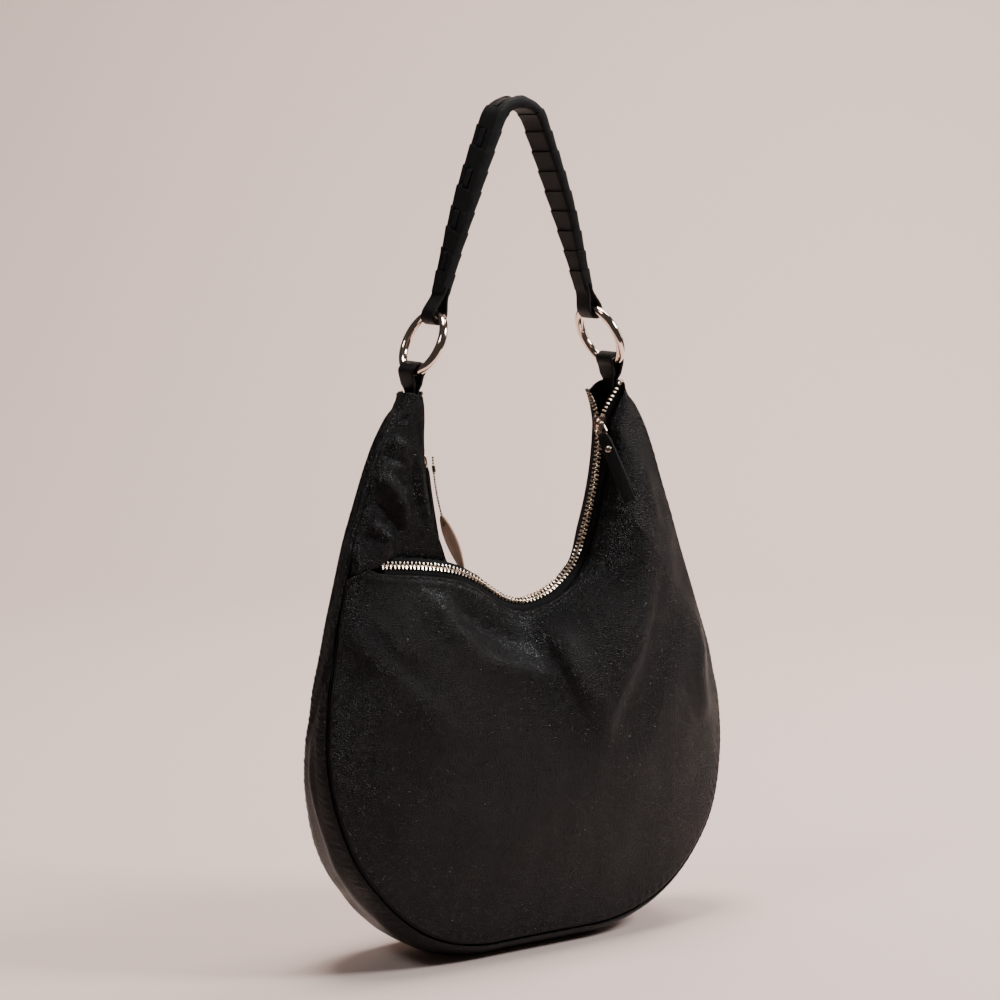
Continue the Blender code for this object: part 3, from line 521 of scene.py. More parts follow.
def zip_path(outer, turn, count=400):
    """Centre line of one zip; above the slider its two sides part."""
    wide = REAR_WIDE if turn else 0.0
    low = [(-127, 284.0), (-112, 283.2), (-98, 282.0), (-80, 279.8)]
    if turn:
        low += [(-66, 274.5), (-54, 265.0), (-42, 255.5), (-29, 249.0), (-15, 245.6), (0, 245.0)]
    else:
        low += [(-62, 276.2), (-48, 271.2), (-36, 264.6), (-25, 257.0), (-13, 250.0), (0, DIP_Z)]
    low += [(14 + wide * 0.3, 248.8), (27 + wide * 0.6, 254.0), (38.5 + wide * 0.8, 262.2),
            (47.3 + wide * 0.9, 271.0)]
    for k in range(9):
        a = math.radians(ZIP_ARC_DEG * (1 - k / 8.0))
        low.append((ZIP_TOP_X + wide - ZIP_ARC_R * (1 - math.cos(a)),
                    ZIP_TOP_Z - ZIP_ARC_R * math.sin(a)))
    pts = [(x, float(zip_y(x, z)), z) for x, z in low]
    if outer:
        pts += [(75.6 + wide, -4.4, 381.0), (81.4 + wide * 0.7, -5.6, 390.5),
                (86.6 + wide * 0.3, -6.6, 398.0)]
    else:
        flare = 0.0 if turn else 1.0
        pts += [(72.2 + wide - 1.6 * flare, -1.8, 381.0), (73.0 + wide - 4.0 * flare, 1.0, 390.5),
                (74.5 + wide - 6.9 * flare, 2.4, 398.0)]
    return evenly(spline(pts, 16), count)


def zip_frames(pts):
    """Points, tangents, directions to the outer face side and normals along a zip."""
    t = unit(np.gradient(pts, axis=0))
    flat = unit(t * [1, 0, 1])
    inward = -aside(flat)
    lean = np.radians(eased([(-127, 66), (-62, 62), (-20, 42), (0, LIMB_LEAN), (100, LIMB_LEAN)],
                            pts[:, 0]))[:, None]
    normal = inward * np.cos(lean) + np.array([0, -1, 0]) * np.sin(lean)
    normal = unit(normal - t * dot(normal, t))
    side = np.cross(t, normal)
    side = np.where(side[:, 1:2] > 0, -side, side)
    return pts, t, side, normal


def band(frames, across, lift=0.0):
    """Points on the curved zip band; positive across goes to the outer face side."""
    p, _, side, normal = frames
    rho = at([(-127, 30), (-60, 26), (-20, 10), (0, 7), (100, 7)], p[:, 0])
    across = np.broadcast_to(across, len(p))
    return p + side * across[:, None] + normal * (lift - across ** 2 / (2 * rho))[:, None]


def middle_y(x, z):
    """Depth of the middle sheet: flat inside the bag, one side of each horn above."""
    s = smooth(262, 296, z) * (eased(SEAM_Y, z) - 0.8)
    return np.where(np.asarray(x) > 0, s, -s)


# ---- leather body ----------------------------------------------------------------------
def edge_rows(length, seam_end, count=34):
    """Shares from seam to zip edge, packed close where the leather rolls at its edges."""
    near = np.array([0, 0.1, 0.3, 0.6, 1.0, 1.5, 2.1, 2.8, 3.8, 5.2, 7, 9.5, 13]) + seam_end
    far = np.array([0, 0.1, 0.3, 0.6, 0.95, 1.3, 1.7, 2.05, 2.35, 2.6, 2.85, 3.2, 3.9, 5, 6.2, 7.4,
                    9, 11.5])
    squeeze = np.minimum(1.0, length / 62.0)[:, None]
    a = near[None] * squeeze / length[:, None]
    b = 1 - far[::-1][None] * squeeze / length[:, None]
    mid = np.linspace(0, 1, count + 2)[1:-1][None]
    m = a[:, -1:] + (b[:, :1] - a[:, -1:]) * mid
    return np.hstack([a, m, b])


def rolled(distance, radius, depth):
    """How far an edge rolls in over a radius."""
    t = np.clip((radius - distance) / radius, 0, 1)
    return -depth * (1 - np.sqrt(np.maximum(0.0, 1 - t * t)))


def face_surface(turn, folds, seed, fold_scale, stitch_pitch):
    """Grid of a face's outer skin with its seams, hem and folds, and its stitch line."""
    stations = 520
    frames = zip_frames(evenly(zip_path(True, turn), stations))
    top = band(frames, at([(-127, 2.0), (-119, 5.0), (-110, 6.3)], frames[0][:, 0]), 0.9)
    line = outline(stations, HORN_FROM)
    seam = line.copy()
    seam[:, 1] = -eased(SEAM_Y, line[:, 2])
    reach = np.linalg.norm((top - seam) * [1, 0, 1], axis=1)
    share = edge_rows(reach, SEAM_END)
    v = share[..., None]
    p = seam[:, None] * (1 - v) + top[:, None] * v
    flatter = eased([(-127, 0.5), (-70, 0.6), (-20, 0.95), (0, 1.0), (100, 1.0)], top[:, 0])
    swell = (np.minimum(24.0, 0.15 * reach) * flatter)[:, None]
    skew = at([(-127, 0.85), (0, 0.85), (45, 0.55), (100, 0.55)], top[:, 0])[:, None]
    p[..., 1] -= swell * np.sin(math.pi * (1 - share) ** skew) ** 0.9
    normal = unit(np.cross(np.gradient(p, axis=0), np.gradient(p, axis=1)))
    normal = np.where(normal[..., 1:2] > 0, -normal, normal)
    from_seam = share * reach[:, None] - SEAM_END
    from_zip = (1 - share) * reach[:, None]
    s = lengths(top)[:, None]
    r = lengths(seam)[:, None]
    lift = rolled(from_seam, SEAM_ROLL, VALLEY) + rolled(from_zip, 1.1, 1.0)
    lift += 0.45 * (1 - smooth(6.2, 8.0, from_zip))
    lift -= 0.32 * np.exp(-((from_zip - STITCH_IN) / 0.45) ** 2)
    pull = np.cos(2 * math.pi * s / stitch_pitch) * 0.10 + 0.22 * ripple(s, seed + 1, 11.0)
    lift += pull * np.exp(-((from_zip - STITCH_IN - 2.2) / 2.6) ** 2)
    lift += 0.42 * ripple(r, seed + 2, 8.0) * np.exp(-((from_seam - 4.0) / 3.4) ** 2)
    inside = smooth(3.0, 26.0, from_zip) * smooth(3.0, 22.0, from_seam)
    for route, width, height in folds:
        lift += fold(p, route, width, height * fold_scale) * inside
    lift += fold_scale * shelf(p) * inside
    lift += 0.55 * swells(p, seed + 3, 38.0, 95.0) * inside
    lift += 0.10 * swells(p, seed + 4, 11.0, 26.0) * smooth(2.0, 12.0, from_seam)
    p = p + normal * lift[..., None]
    row = np.abs(from_zip - STITCH_IN).argmin(axis=1)
    pick = np.arange(stations)
    path = p[pick, row] + normal[pick, row] * 0.12
    return p, path, normal[pick, row]


def build_face(side, turn, sizes, mats):
    """Front or rear face with its topstitching along the zip."""
    folds, seed = (REAR_FOLDS, 40) if turn else (FRONT_FOLDS, 10)
    pitch = sizes.stitch_pitch / MM
    p, path, normal = face_surface(turn, folds, seed, sizes.fold_depth, pitch)
    p = settled(turned(p, turn))
    grid = p.transpose(1, 0, 2)
    face = sheet(grid, LEATHER_T, outside=turned(np.array([0.0, -1.0, 0.0]), turn))
    dress(face, side + "_face", mats["leather"], "bag", side + "_panel")
    path, normal = settled(turned(path, turn)), turned(normal, turn)
    thread = stitches(path[4:-4], normal[4:-4], pitch, pitch * 0.78, 0.62)
    dress(thread, side + "_edge_stitches", mats["thread"], "bag", side + "_panel", replaces=())


def build_middle(sizes, mats):
    """Sheet between the compartments, which also faces one side of each horn."""
    stations = 480
    right = zip_path(False, False)
    left = zip_path(False, True) * [-1, 1, 1]
    right, left = right[right[:, 0] > -0.5], left[left[:, 0] < -0.5][::-1]
    inner = evenly(np.vstack([left, right]) * [1, 0, 1], stations)
    a = inner + outward(inner) * 1.2
    o = outline(stations)
    out = outward(o)
    half = eased(SEAM_Y, o[:, 2])
    edge = middle_y(o[:, 0], o[:, 2])
    hidden = eased(BULGE, o[:, 2]) * (1 - (edge / half) ** 2) - 3.2
    hidden = np.where(np.abs(o[:, 0]) < 75, np.minimum(hidden, SEAM_Z - 4.6), hidden)
    shown = smooth(262, 296, o[:, 2])
    b = o + out * (hidden * (1 - shown) - SEAM_END * shown)[:, None]
    reach = np.linalg.norm(a - b, axis=1)
    share = edge_rows(reach, 0.0, 30)
    v = share[..., None]
    p = b[:, None] * (1 - v) + a[:, None] * v
    x, z = p[..., 0], p[..., 2]
    way = np.where(x > 0, 1.0, -1.0)
    from_seam, from_zip = share * reach[:, None], (1 - share) * reach[:, None]
    horn = smooth(286, 306, z)
    puff = at([(286, 0), (300, 3.2), (325, 4.6), (355, 4.0), (380, 2.6), (402, 0.6)], z)
    lift = puff * np.sin(math.pi * np.clip(share, 0, 1)) ** 0.8
    band_z = at([(48, 271), (62, 276), (80, 279.8), (98, 282), (112, 283), (119, 277), (137, 274)],
                np.abs(x))
    hang = smooth(band_z + 1.6, band_z + 5.0, z) * (1 - smooth(band_z + 6.0, band_z + 30.0, z))
    hang = hang * smooth(0.0, 0.1, share) * (1 - smooth(0.5, 0.75, share))
    lift += at([(90, 6.2), (120, 8.0)], np.abs(x)) * hang
    r = lengths(b)[:, None]
    soft = horn * smooth(0.5, 7.0, from_seam) * smooth(0.5, 7.0, from_zip)
    mirrored = p * np.array([-1.0, 1.0, 1.0])
    for route, width, height in HORN_FOLDS:
        height *= sizes.fold_depth * 1.35
        lift += (fold(p, route, width, height) + fold(mirrored, route, width, height)) * soft
    lift += (0.4 * swells(p, 71, 14.0, 34.0) + 0.16 * swells(p, 74, 6.0, 12.0)) * soft
    lift += rolled(from_seam, SEAM_ROLL, VALLEY) * horn
    lift += 0.45 * ripple(r, 72, 7.0) * np.exp(-((from_seam - 4.0) / 3.0) ** 2) * horn
    lift += 0.30 * ripple(r, 73, 9.0) * np.exp(-((from_zip - 3.0) / 2.6) ** 2) * horn
    p[..., 1] = middle_y(x, z) + way * lift
    grid = settled(p).transpose(1, 0, 2)
    ob = sheet(grid, MIDDLE_T, offset=0.0, outside=np.array([0.0, -1.0, 0.0]))
    dress(ob, "middle_sheet", mats["leather"], "bag", "middle_panel")


def gusset_surface():
    """Grid of the strip round the sides and bottom, flat where it stands."""
    stations = 640
    line = outline(stations)
    out = outward(line)
    z = line[:, 2]
    half = eased(SEAM_Y, z)
    roll = np.array([0, 0.1, 0.3, 0.6, 1.0, 1.5, 2.1, 2.8]) + SEAM_END
    squeeze = np.minimum(1.0, half / 9.0)[:, None]
    ends = roll[None] * squeeze / half[:, None]
    mid = np.linspace(0, 1, 29)[None]
    a, b = -1 + ends[:, -1:], 1 - ends[:, -1:]
    f = np.hstack([-1 + ends[:, :-1], a + (b - a) * mid, 1 - ends[:, -2::-1]])
    crown = 1.21 * (1 - np.abs(f) ** 2.2)
    crown = 1 - np.log1p(np.exp((1 - crown) * 9.0)) / 9.0
    crown = np.clip(crown + 0.077, -0.2, 1.0)
    swell = eased(BULGE, z)[:, None]
    edge = (1 - np.abs(f)) * half[:, None] - SEAM_END
    lift = swell * crown + rolled(edge, SEAM_ROLL, VALLEY)
    s = lengths(line)[:, None]
    zz, left = z[:, None], (line[:, 0] < 0)[:, None]
    down = smooth(30, 70, zz) * (1 - smooth(140, 175, zz))
    ridge_at = at([(30, -0.30), (60, -0.30), (95, -0.40), (140, -0.05)], zz)
    lift += 1.6 * down * np.exp(-((f - ridge_at) / 0.16) ** 2)
    dent_at = at([(176, 0.30), (200, -0.35), (224, -1.0)], zz)
    dent = smooth(168, 184, zz) * (1 - smooth(214, 232, zz)) * left
    lift -= 1.5 * np.exp(-((f - dent_at) / 0.22) ** 2) * dent
    inward = smooth(236, 262, zz) * (1 - smooth(352, 380, zz))
    lift -= 1.4 * inward * np.exp(-(f / 0.5) ** 2)
    gather = smooth(24, 60, zz) * (1 - smooth(222, 262, zz))
    near = np.exp(-((edge - 4.2) / 3.2) ** 2)
    wave = ripple(s + 6.0 * f, 91, 5.2)
    lift += (0.16 + 0.5 * gather) * wave * near * np.minimum(1, half[:, None] / 12)
    p = line[:, None] + out[:, None] * lift[..., None]
    p[..., 1] = half[:, None] * f
    uneven = 0.45 * swells(p, 92, 22.0, 60.0) * smooth(1.0, 9.0, edge) * smooth(16, 40, zz)
    p += out[:, None] * uneven[..., None]
    floor = np.abs(p[..., 0]) < 100
    p[..., 2] = np.where(floor, np.maximum(p[..., 2], 0.0), p[..., 2])
    return p


def build_gusset(mats):
    """Leather strip round the sides and bottom."""
    grid = settled(gusset_surface()).transpose(1, 0, 2)[::-1]
    middle = np.array([3.5, 0.0, 200.0])
    ob = sheet(grid, LEATHER_T, outside=grid - middle)
    dress(ob, "gusset_strip", mats["leather"], "bag", "gusset")


def build_seams(mats):
    """Corded thread at the bottom of each turned seam, and the cloth of the hidden nodes."""
    for side, turn in (("front", False), ("rear", True)):
        line = outline(700)
        p = line - outward(line) * (VALLEY * 1.05)
        p[:, 1] = -eased(SEAM_Y, line[:, 2]) + VALLEY * 1.05
        ob = cord_solid(settled(turned(p, turn)), 0.6, 8)
        dress(ob, side + "_seam_cord", mats["thread"], "bag", side + "_piping")
    for node in ("front_lining", "rear_lining", "base_board"):
        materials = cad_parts[node].data.materials
        materials.clear()
        materials.append(mats["cloth"])


# ---- zips ------------------------------------------------------------------------------
def tooth():
    """One metal tooth: a bar across the chain with a narrower head."""
    ob = added(bpy.ops.mesh.primitive_cube_add, size=1.0)
    place(ob, Matrix.Diagonal((2.4 * MM, 1.25 * MM, 1.75 * MM, 1.0)))
    bpy.ops.object.mode_set(mode="EDIT")
    bpy.ops.mesh.select_mode(type="FACE")
    bpy.ops.mesh.select_all(action="DESELECT")
    bpy.ops.object.mode_set(mode="OBJECT")
    for f in ob.data.polygons:
        f.select = f.normal.x < -0.9
    bpy.ops.object.mode_set(mode="EDIT")
    bpy.ops.mesh.extrude_region_move(TRANSFORM_OT_translate={"value": (-0.45 * MM, 0, 0)})
    bpy.ops.transform.resize(value=(1.0, 1.25, 0.8))
    bpy.ops.mesh.extrude_region_move(TRANSFORM_OT_translate={"value": (-0.4 * MM, 0, 0)})
    bpy.ops.transform.resize(value=(1.0, 0.7, 0.75))
    bpy.ops.object.mode_set(mode="OBJECT")
    apply_modifier(ob, "BEVEL", width=0.14 * MM, segments=1, limit_method="ANGLE")
    return ob


def zip_row(outer, turn, pitch):
    """Frames of one row of teeth."""
    p, t, side, normal = zip_frames(zip_path(outer, turn, 900))
    s = lengths(p)
    spots = np.arange(11.0 + (0.0 if outer else pitch / 2), s[-1] - 2.0, pitch)
    pick = np.searchsorted(s, spots)
    sign = 1.0 if outer else -1.0
    out = []
    for i in pick:
        x = side[i] * sign
        out.append((p[i] + x * 1.45 + normal[i] * 1.0, x, t[i], normal[i]))
    return out


def build_zip(side, turn, sizes, mats):
    """Tapes, teeth and end stops of one zip."""
    for part, outer in (("outer", True), ("inner", False)):
        node = side + "_zip_" + part
        spots = zip_row(outer, turn, sizes.tooth_pitch / MM)
        spots = [tuple(turned(v, turn) for v in spot) for spot in spots]
        row = copies(tooth(), [(settled(p[None])[0], x, y, z) for p, x, y, z in spots])
        dress(row, node + "_row", mats["teeth"], "bag", node + "_teeth", 40)
        fr = tuple(v[12:] for v in zip_frames(evenly(zip_path(outer, turn), 312)))
        if outer:
            across = np.array([0.35, 0.5, 1.2, 2.2, 3.2, 4.2, 5.0, 5.8, 6.8, 8.0])
            cuts = np.broadcast_to(across, (300, len(across)))
            lift = np.where(across > 5.0, -0.28 * (across - 5.0), 0.0)
        else:
            reach = inner_reach(fr)
            cuts = -(0.35 + (reach[:, None] - 0.35) * np.linspace(0, 1, 9)[None])
            lift = np.zeros(9)
        rows = [band(fr, cuts[:, k], lift[k]) for k in range(cuts.shape[1])]
        grid = settled(turned(np.array(rows), turn))
        up = np.broadcast_to(turned(fr[3], turn)[None], grid.shape)
        tape = sheet(grid, TAPE_T, outside=up)
        dress(tape, node + "_band", mats["tape"], "bag", node + "_tape")
        end, x, y, z = (turned(v[-1:], turn)[0] for v in fr)
        end = settled(end[None])[0]
        sign = 1.0 if outer else -1.0
        stop = added(bpy.ops.mesh.primitive_cube_add, size=1.0)
        place(stop, Matrix.Diagonal((3.4 * MM, 3.0 * MM, 2.0 * MM, 1.0)))
        apply_modifier(stop, "BEVEL", width=0.6 * MM, segments=3)
        place(stop, basis(x, np.cross(z, x), z, end + y * 1.6 * sign + z * 0.9 + x * 1.0))
        dress(stop, node + "_end", mats["teeth"], "bag", node + "_stop")


def inner_reach(fr):
    """How far across the inner tape runs to meet the middle sheet."""
    p = fr[0]
    target = np.where(p[:, 0] > 0, middle_y(p[:, 0], p[:, 2]) - 1.3, -1.3)
    reach = np.full(len(p), 4.0)
    for a in np.arange(4.0, 12.0, 0.1):
        y = band(fr, -a)[:, 1]
        reach = np.where(y < target, a, reach)
    reach = np.where(p[:, 0] < -36, 6.2, reach)
    kernel = np.ones(9) / 9
    return np.convolve(np.pad(reach, 4, mode="edge"), kernel, mode="valid")


def slider_frame(turn):
    """Frame of a slider on its arc: x up the zip, z off the face, before any half turn."""
    a = math.radians(REAR_REST_DEG if turn else 0.0)
    wide = REAR_WIDE if turn else 0.0
    x = ZIP_TOP_X + wide - ZIP_ARC_R * (1 - math.cos(a))
    z = ZIP_TOP_Z - ZIP_ARC_R * math.sin(a)
    lean = math.radians(LIMB_LEAN)
    t = Vector((math.sin(a), 0, math.cos(a)))
    normal = (Vector((-math.cos(a), 0, math.sin(a))) * math.cos(lean)
              - Vector((0, 1, 0)) * math.sin(lean))
    return basis(t, normal.cross(t), normal, (x, float(zip_y(x, z)), z))


def half_turn(turn):
    """Placement that carries a front frame to the rear side."""
    return Matrix.Rotation(math.pi, 4, "Z") if turn else Matrix.Identity(4)


def plate(points, thick, bevel):
    """Flat plate of any outline, made from a filled circle, standing on z = 0."""
    ob = added(bpy.ops.mesh.primitive_circle_add, vertices=len(points), radius=MM,
               fill_type="NGON")
    for v, (x, y) in zip(ob.data.vertices, points):
        v.co = Vector((x, y, 0)) * MM
    bpy.ops.object.mode_set(mode="EDIT")
    bpy.ops.mesh.select_all(action="SELECT")
    bpy.ops.mesh.extrude_region_move(TRANSFORM_OT_translate={"value": (0, 0, thick * MM)})
    bpy.ops.object.mode_set(mode="OBJECT")
    outwards(ob)
    apply_modifier(ob, "BEVEL", width=bevel * MM, segments=2, limit_method="ANGLE")
    return ob


def build_slider(side, turn, mats):
    """Slider with its shield plates, throat post and pull bridge."""
    outline_pts = [(-5.4, -2.2), (-5.0, -2.8), (-1.2, -3.9), (3.6, -4.3), (5.2, -3.9), (5.7, -2.4),
                   (5.2, -0.9), (5.2, 0.9), (5.7, 2.4), (5.2, 3.9), (3.6, 4.3), (-1.2, 3.9),
                   (-5.0, 2.8), (-5.4, 2.2)]
    top = plate(outline_pts, 1.3, 0.35)
    place(top, Matrix.Translation((0, 0, SLIDER_LOW * MM)))
    low = plate([(x * 0.96, y * 0.96) for x, y in outline_pts], 0.9, 0.3)
    place(low, Matrix.Translation((0, 0, -1.6 * MM)))
    post = plate([(2.2, -1.1), (5.0, -0.5), (5.0, 0.5), (2.2, 1.1)], 4.2, 0.2)
    place(post, Matrix.Translation((0, 0, -1.2 * MM)))
    arch = added(bpy.ops.mesh.primitive_torus_add, major_radius=3.4 * MM,
                 minor_radius=0.62 * MM, major_segments=32, minor_segments=10)
    arch_foot = (SLIDER_LOW + 0.7) * MM
    place(arch, Matrix.Translation((0, 0, arch_foot)) @ Matrix.Rotation(math.pi / 2, 4, "X")
          @ Matrix.Diagonal((1, 1, 1.7, 1)))
    cut_below(arch, arch_foot)
    ob = join(top, low, post, arch)
    place(ob, half_turn(turn) @ slider_frame(turn))
    dress(ob, side + "_slider_body", mats["gold"], side + "_slider", side + "_slider", 35)


def pull_frame(turn):
    """Frame of the hanging pull: z down the strap, y off the bag's face, x along the pivot."""
    m = slider_frame(turn)
    pivot = m @ (Vector((0.0, 0, SLIDER_LOW + PIVOT_LIFT)) * MM)
    axis = (m.to_3x3() @ Vector((0, 1, 0))).normalized()
    down = Vector(REAR_PULL_DOWN if turn else FRONT_PULL_DOWN).normalized()
    x = (axis - down * axis.dot(down)).normalized()
    return basis(x, down.cross(x), down, pivot / MM)


def build_pull(side, turn, mats):
    """Pull ring, folded leather strap and its rivet."""
    to_place = half_turn(turn) @ pull_frame(turn)
    body = side + "_pull"
    a = 2 * math.pi * np.arange(48) / 48
    c, s = np.cos(a), np.sin(a)
    x = 3.7 * np.sign(c) * np.abs(c) ** 0.6
    z = 4.9 + 4.9 * np.sign(s) * np.abs(s) ** 0.6
    spine = np.stack([x, 0 * x, z], -1)
    t = unit(np.roll(spine, -1, 0) - np.roll(spine, 1, 0))
    b = 2 * math.pi * np.arange(12) / 12
    sections = (spine[:, None] + aside(t)[:, None] * (0.72 * np.cos(b))[None, :, None]
                + np.array([0, 1, 0]) * (0.72 * np.sin(b))[None, :, None])
    ring = loft(sections, closed=True)
    place(ring, to_place)
    dress(ring, side + "_pull_loop", mats["gold"], body, side + "_pull_ring")
    # folded strip: up one tail, round the ring, down the other
    near = [(3.9, PULL_LEN - 3), (2.3, 50.0), (1.3, 38.0), (0.9, 28.0), (1.0, 20.0), (1.55, 14.0)]
    bend = [(1.9 * math.cos(k * math.pi / 8), 9.8 - 2.1 * math.sin(k * math.pi / 8))
            for k in range(9)]
    far = [(-1.55, 14.0), (-1.0, 20.0), (-0.85, 28.0), (-1.0, 38.0), (-1.5, 50.0), (-2.4, PULL_LEN)]
    line = evenly(spline([(0.0, y, z) for y, z in near + bend + far], 8), 110)
    width = at([(8, 5.4), (10.5, 7.0), (13.5, 8.6), (20, 9.0), (PULL_LEN, 9.2)], line[:, 2])
    ob = strap(line, (1.0, 0.0, 0.0), width, 1.35, 0.45)
    place(ob, to_place)
    dress(ob, side + "_pull_leather", mats["strap"], body, side + "_pull_strap", 50)
    head = added(bpy.ops.mesh.primitive_uv_sphere_add, segments=28, ring_count=14,
                 radius=2.4 * MM)
    place(head, Matrix.Diagonal((1, 1, 0.34, 1)))
    cut_below(head, -0.2 * MM)
    place(head, to_place @ Matrix.Translation(Vector((0, -1.9, STUD_DOWN)) * MM)
          @ Matrix.Rotation(math.pi / 2, 4, "X"))
    dress(head, side + "_pull_stud", mats["gold"], body, side + "_pull_rivet", 40)


# ---- rings, tabs and handle ------------------------------------------------------------
def leaning(sign, degrees):
    """Upward direction leaning in over the bag; the sign is minus on the left."""
    a = math.radians(degrees)
    return np.array([-sign * math.sin(a), 0.0, math.cos(a)])


def ring_point(sign, upper):
    """Middle of the wire at the top or the bottom of a ring."""
    reach = RING_MID_R if upper else -RING_MID_R
    return np.array([sign * RING_X, 0.0, RING_Z]) + leaning(sign, RING_TILT) * reach


def build_ring(side, sign, mats):
    """Polished O ring of round wire."""
    ring = added(bpy.ops.mesh.primitive_torus_add, major_radius=RING_MID_R * MM,
                 minor_radius=RING_WIRE_R * MM, major_segments=128, minor_segments=36)
    d = Vector(leaning(sign, RING_TILT))
    y = Vector((0, 1, 0))
    place(ring, basis(y, d.cross(y).cross(y), d.cross(y), (sign * RING_X, 0, RING_Z)))
    outwards(ring)
    dress(ring, side + "_o_ring", mats["gold"], side + "_ring", side + "_ring")


def loop_line(d, away, legs, spread):
    """Line of a strap folded round the ring wire, in direction d, its legs running away."""
    y = np.array([0.0, 1.0, 0.0])
    n = np.cross(d, y)
    m = np.cross(y, away)
    r = RING_WIRE_R + 0.45 + 1.1
    pts = [-m * spread + away * legs, -m * spread * 1.1 + away * (legs * 0.62), -n * r - d * 1.5]
    for k in range(9):
        a = math.pi * k / 8
        pts.append(-n * (r * math.cos(a)) + d * (2.5 + r * math.sin(a)))
    pts += [n * r - d * 1.5, m * spread * 1.1 + away * (legs * 0.62), m * spread + away * legs]
    return evenly(spline(pts, 8), 90)


def build_loops(side, sign, mats):
    """Tab under a ring, bending with the horn, and the handle's loop over it."""
    foot = ring_point(sign, False)
    legs = foot[2] - TAB_FOOT_Z + 11.0
    ring_up, limb_up = leaning(sign, RING_TILT), leaning(sign, HANDLE_LEAN)
    line = loop_line(ring_up, np.array([0.0, 0.0, -1.0]), legs, 1.45)
    width = at([(0, 18.0), (legs - 12.5, 17.6), (legs - 8.5, 12.4), (legs, 12.0)], -line[:, 2])
    tab = strap(foot + line, (0.0, 1.0, 0.0), width, TAB_T, 0.8)
    dress(tab, side + "_horn_tab", mats["strap"], None, side + "_tab")
    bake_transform(tab)
    top = ring_point(sign, True)
    line = loop_line(-ring_up, limb_up, 19.0, 1.5)
    width = at([(0, 16.0), (8, 15.6), (19, 16.6)], line @ limb_up)
    loop = strap(top + line, (0.0, 1.0, 0.0), width, TAB_T, 0.8)
    dress(loop, side + "_grip_loop", mats["strap"], "handle", side + "_handle_loop")


def handle_line():
    """Centre line of the handle from the left loop over the top to the right loop."""
    foot, d = ring_point(-1, True), leaning(-1, HANDLE_LEAN)
    top_z = HANDLE_TOP - HANDLE_T / 2
    lean, r = math.radians(HANDLE_LEAN), HANDLE_BEND_R
    first = foot + d * HANDLE_START
    bend = np.array([-r * math.cos(lean), 0, top_z - r + r * math.sin(lean)])
    pts = [first + (bend - first) * k / 8.0 for k in range(8)]
    for k in range(1, 8):
        bow = 2.0 * math.sin(math.pi * k / 8.0)
        pts[k] = pts[k] + np.array([-bow * math.cos(lean), 0, bow * math.sin(lean)])
    for k in range(13):
        a = math.pi - lean - (math.pi - 2 * lean) * k / 12
        pts.append(np.array([r * math.cos(a), 0, top_z - r + r * math.sin(a)]))
    pts += [p * [-1, 1, 1] for p in reversed(pts[:8])]
    return evenly(spline(pts, 16), 900)


def handle_section():
    """Round-edged section, across by up, with points where the lace windows are cut."""
    a = [-GRIP_HALF, -9.0, -6.4, -4.6, -4.2, -3.9, -2.0, 0.0, 2.0, 4.0, 6.2, 6.5, 6.9, 9.0,
         GRIP_HALF]
    turns = np.linspace(0, math.pi, 9)[1:-1]
    flat = [(x, 1.0) for x in a]
    edge = [(GRIP_HALF + 1.9 * math.sin(t), math.cos(t)) for t in turns]
    under = [(x, -1.0) for x in reversed(a)]
    back = [(-x, -y) for x, y in edge]
    return np.array(flat + edge + under + back)


def build_grip(line, turns, mats):
    """Wrapped grip, each turn standing over the next below it, with windows for the lace."""
    total = lengths(line)[-1]
    middle = total / 2
    pitch = middle / turns
    shape = handle_section()
    across, up = shape[:, 0], shape[:, 1]
    outer = smooth(-0.9, 0.9, up)
    top_face = (up > 0.99).astype(float)
    steps = np.array([0.0, 0.015, 0.06, 0.16, 0.32, 0.5, 0.68, 0.84, 0.94, 0.985, 1.0])
    rise = np.array([0.0, 0.0, 0.02, 0.08, 0.20, 0.38, 0.58, 0.80, 0.94, 1.0, 0.86])
    sections = []
    marks = [(k, i) for k in range(turns) for i in range(len(steps))]
    for far_side in (False, True):
        order = reversed(marks) if far_side else marks
        for k, i in order:
            s = (k + steps[i]) * pitch
            fade = smooth(8, 30, s) * (1 - smooth(middle - 26, middle - 2, s))
            lean_in = 3.2 * fade * (across / 13.0) * (outer if not far_side else outer * 0.7)
            d = np.clip(s + lean_in, 0.0, total)
            spot = total - d if far_side else d
            p = along(line, np.clip(spot - 0.4, 0, total))
            q = along(line, np.clip(spot + 0.4, 0, total))
            out = -aside(unit(q - p))
            taper = at(HANDLE_TAPER, s)
            step = rise[i] * 0.85
            window = top_face * (k % 2) * smooth(0.0, 0.04, steps[i] + 0.01)
            window = window * smooth(-4.6, -4.1, across) * (1 - smooth(6.3, 6.8, across))
            swell = 0.18 * ripple(across * 0.9 + s * 3.1, 300 + k + 50 * far_side, 9.0)
            peak = 0.9 * smooth(middle - 4, middle, s)
            h = HANDLE_T / 2 - 1.15 + step * 0.8 + 0.6 * (1 - taper)
            rim = np.sign(across) * smooth(9, 12.5, np.abs(across))
            w = across * taper + rim * (step * 0.55 - 0.4)
            high = up * (h + (swell + peak) * top_face) - window * 1.25
            sections.append((p + q) / 2 + np.array([0, 1.0, 0]) * w[:, None]
                            + out * high[:, None])
    grip = loft(np.array(sections))
    dress(grip, "grip_wrap", mats["wrap"], "handle", "handle_wrap", 32,
          ["handle_wrap", "handle_core"])


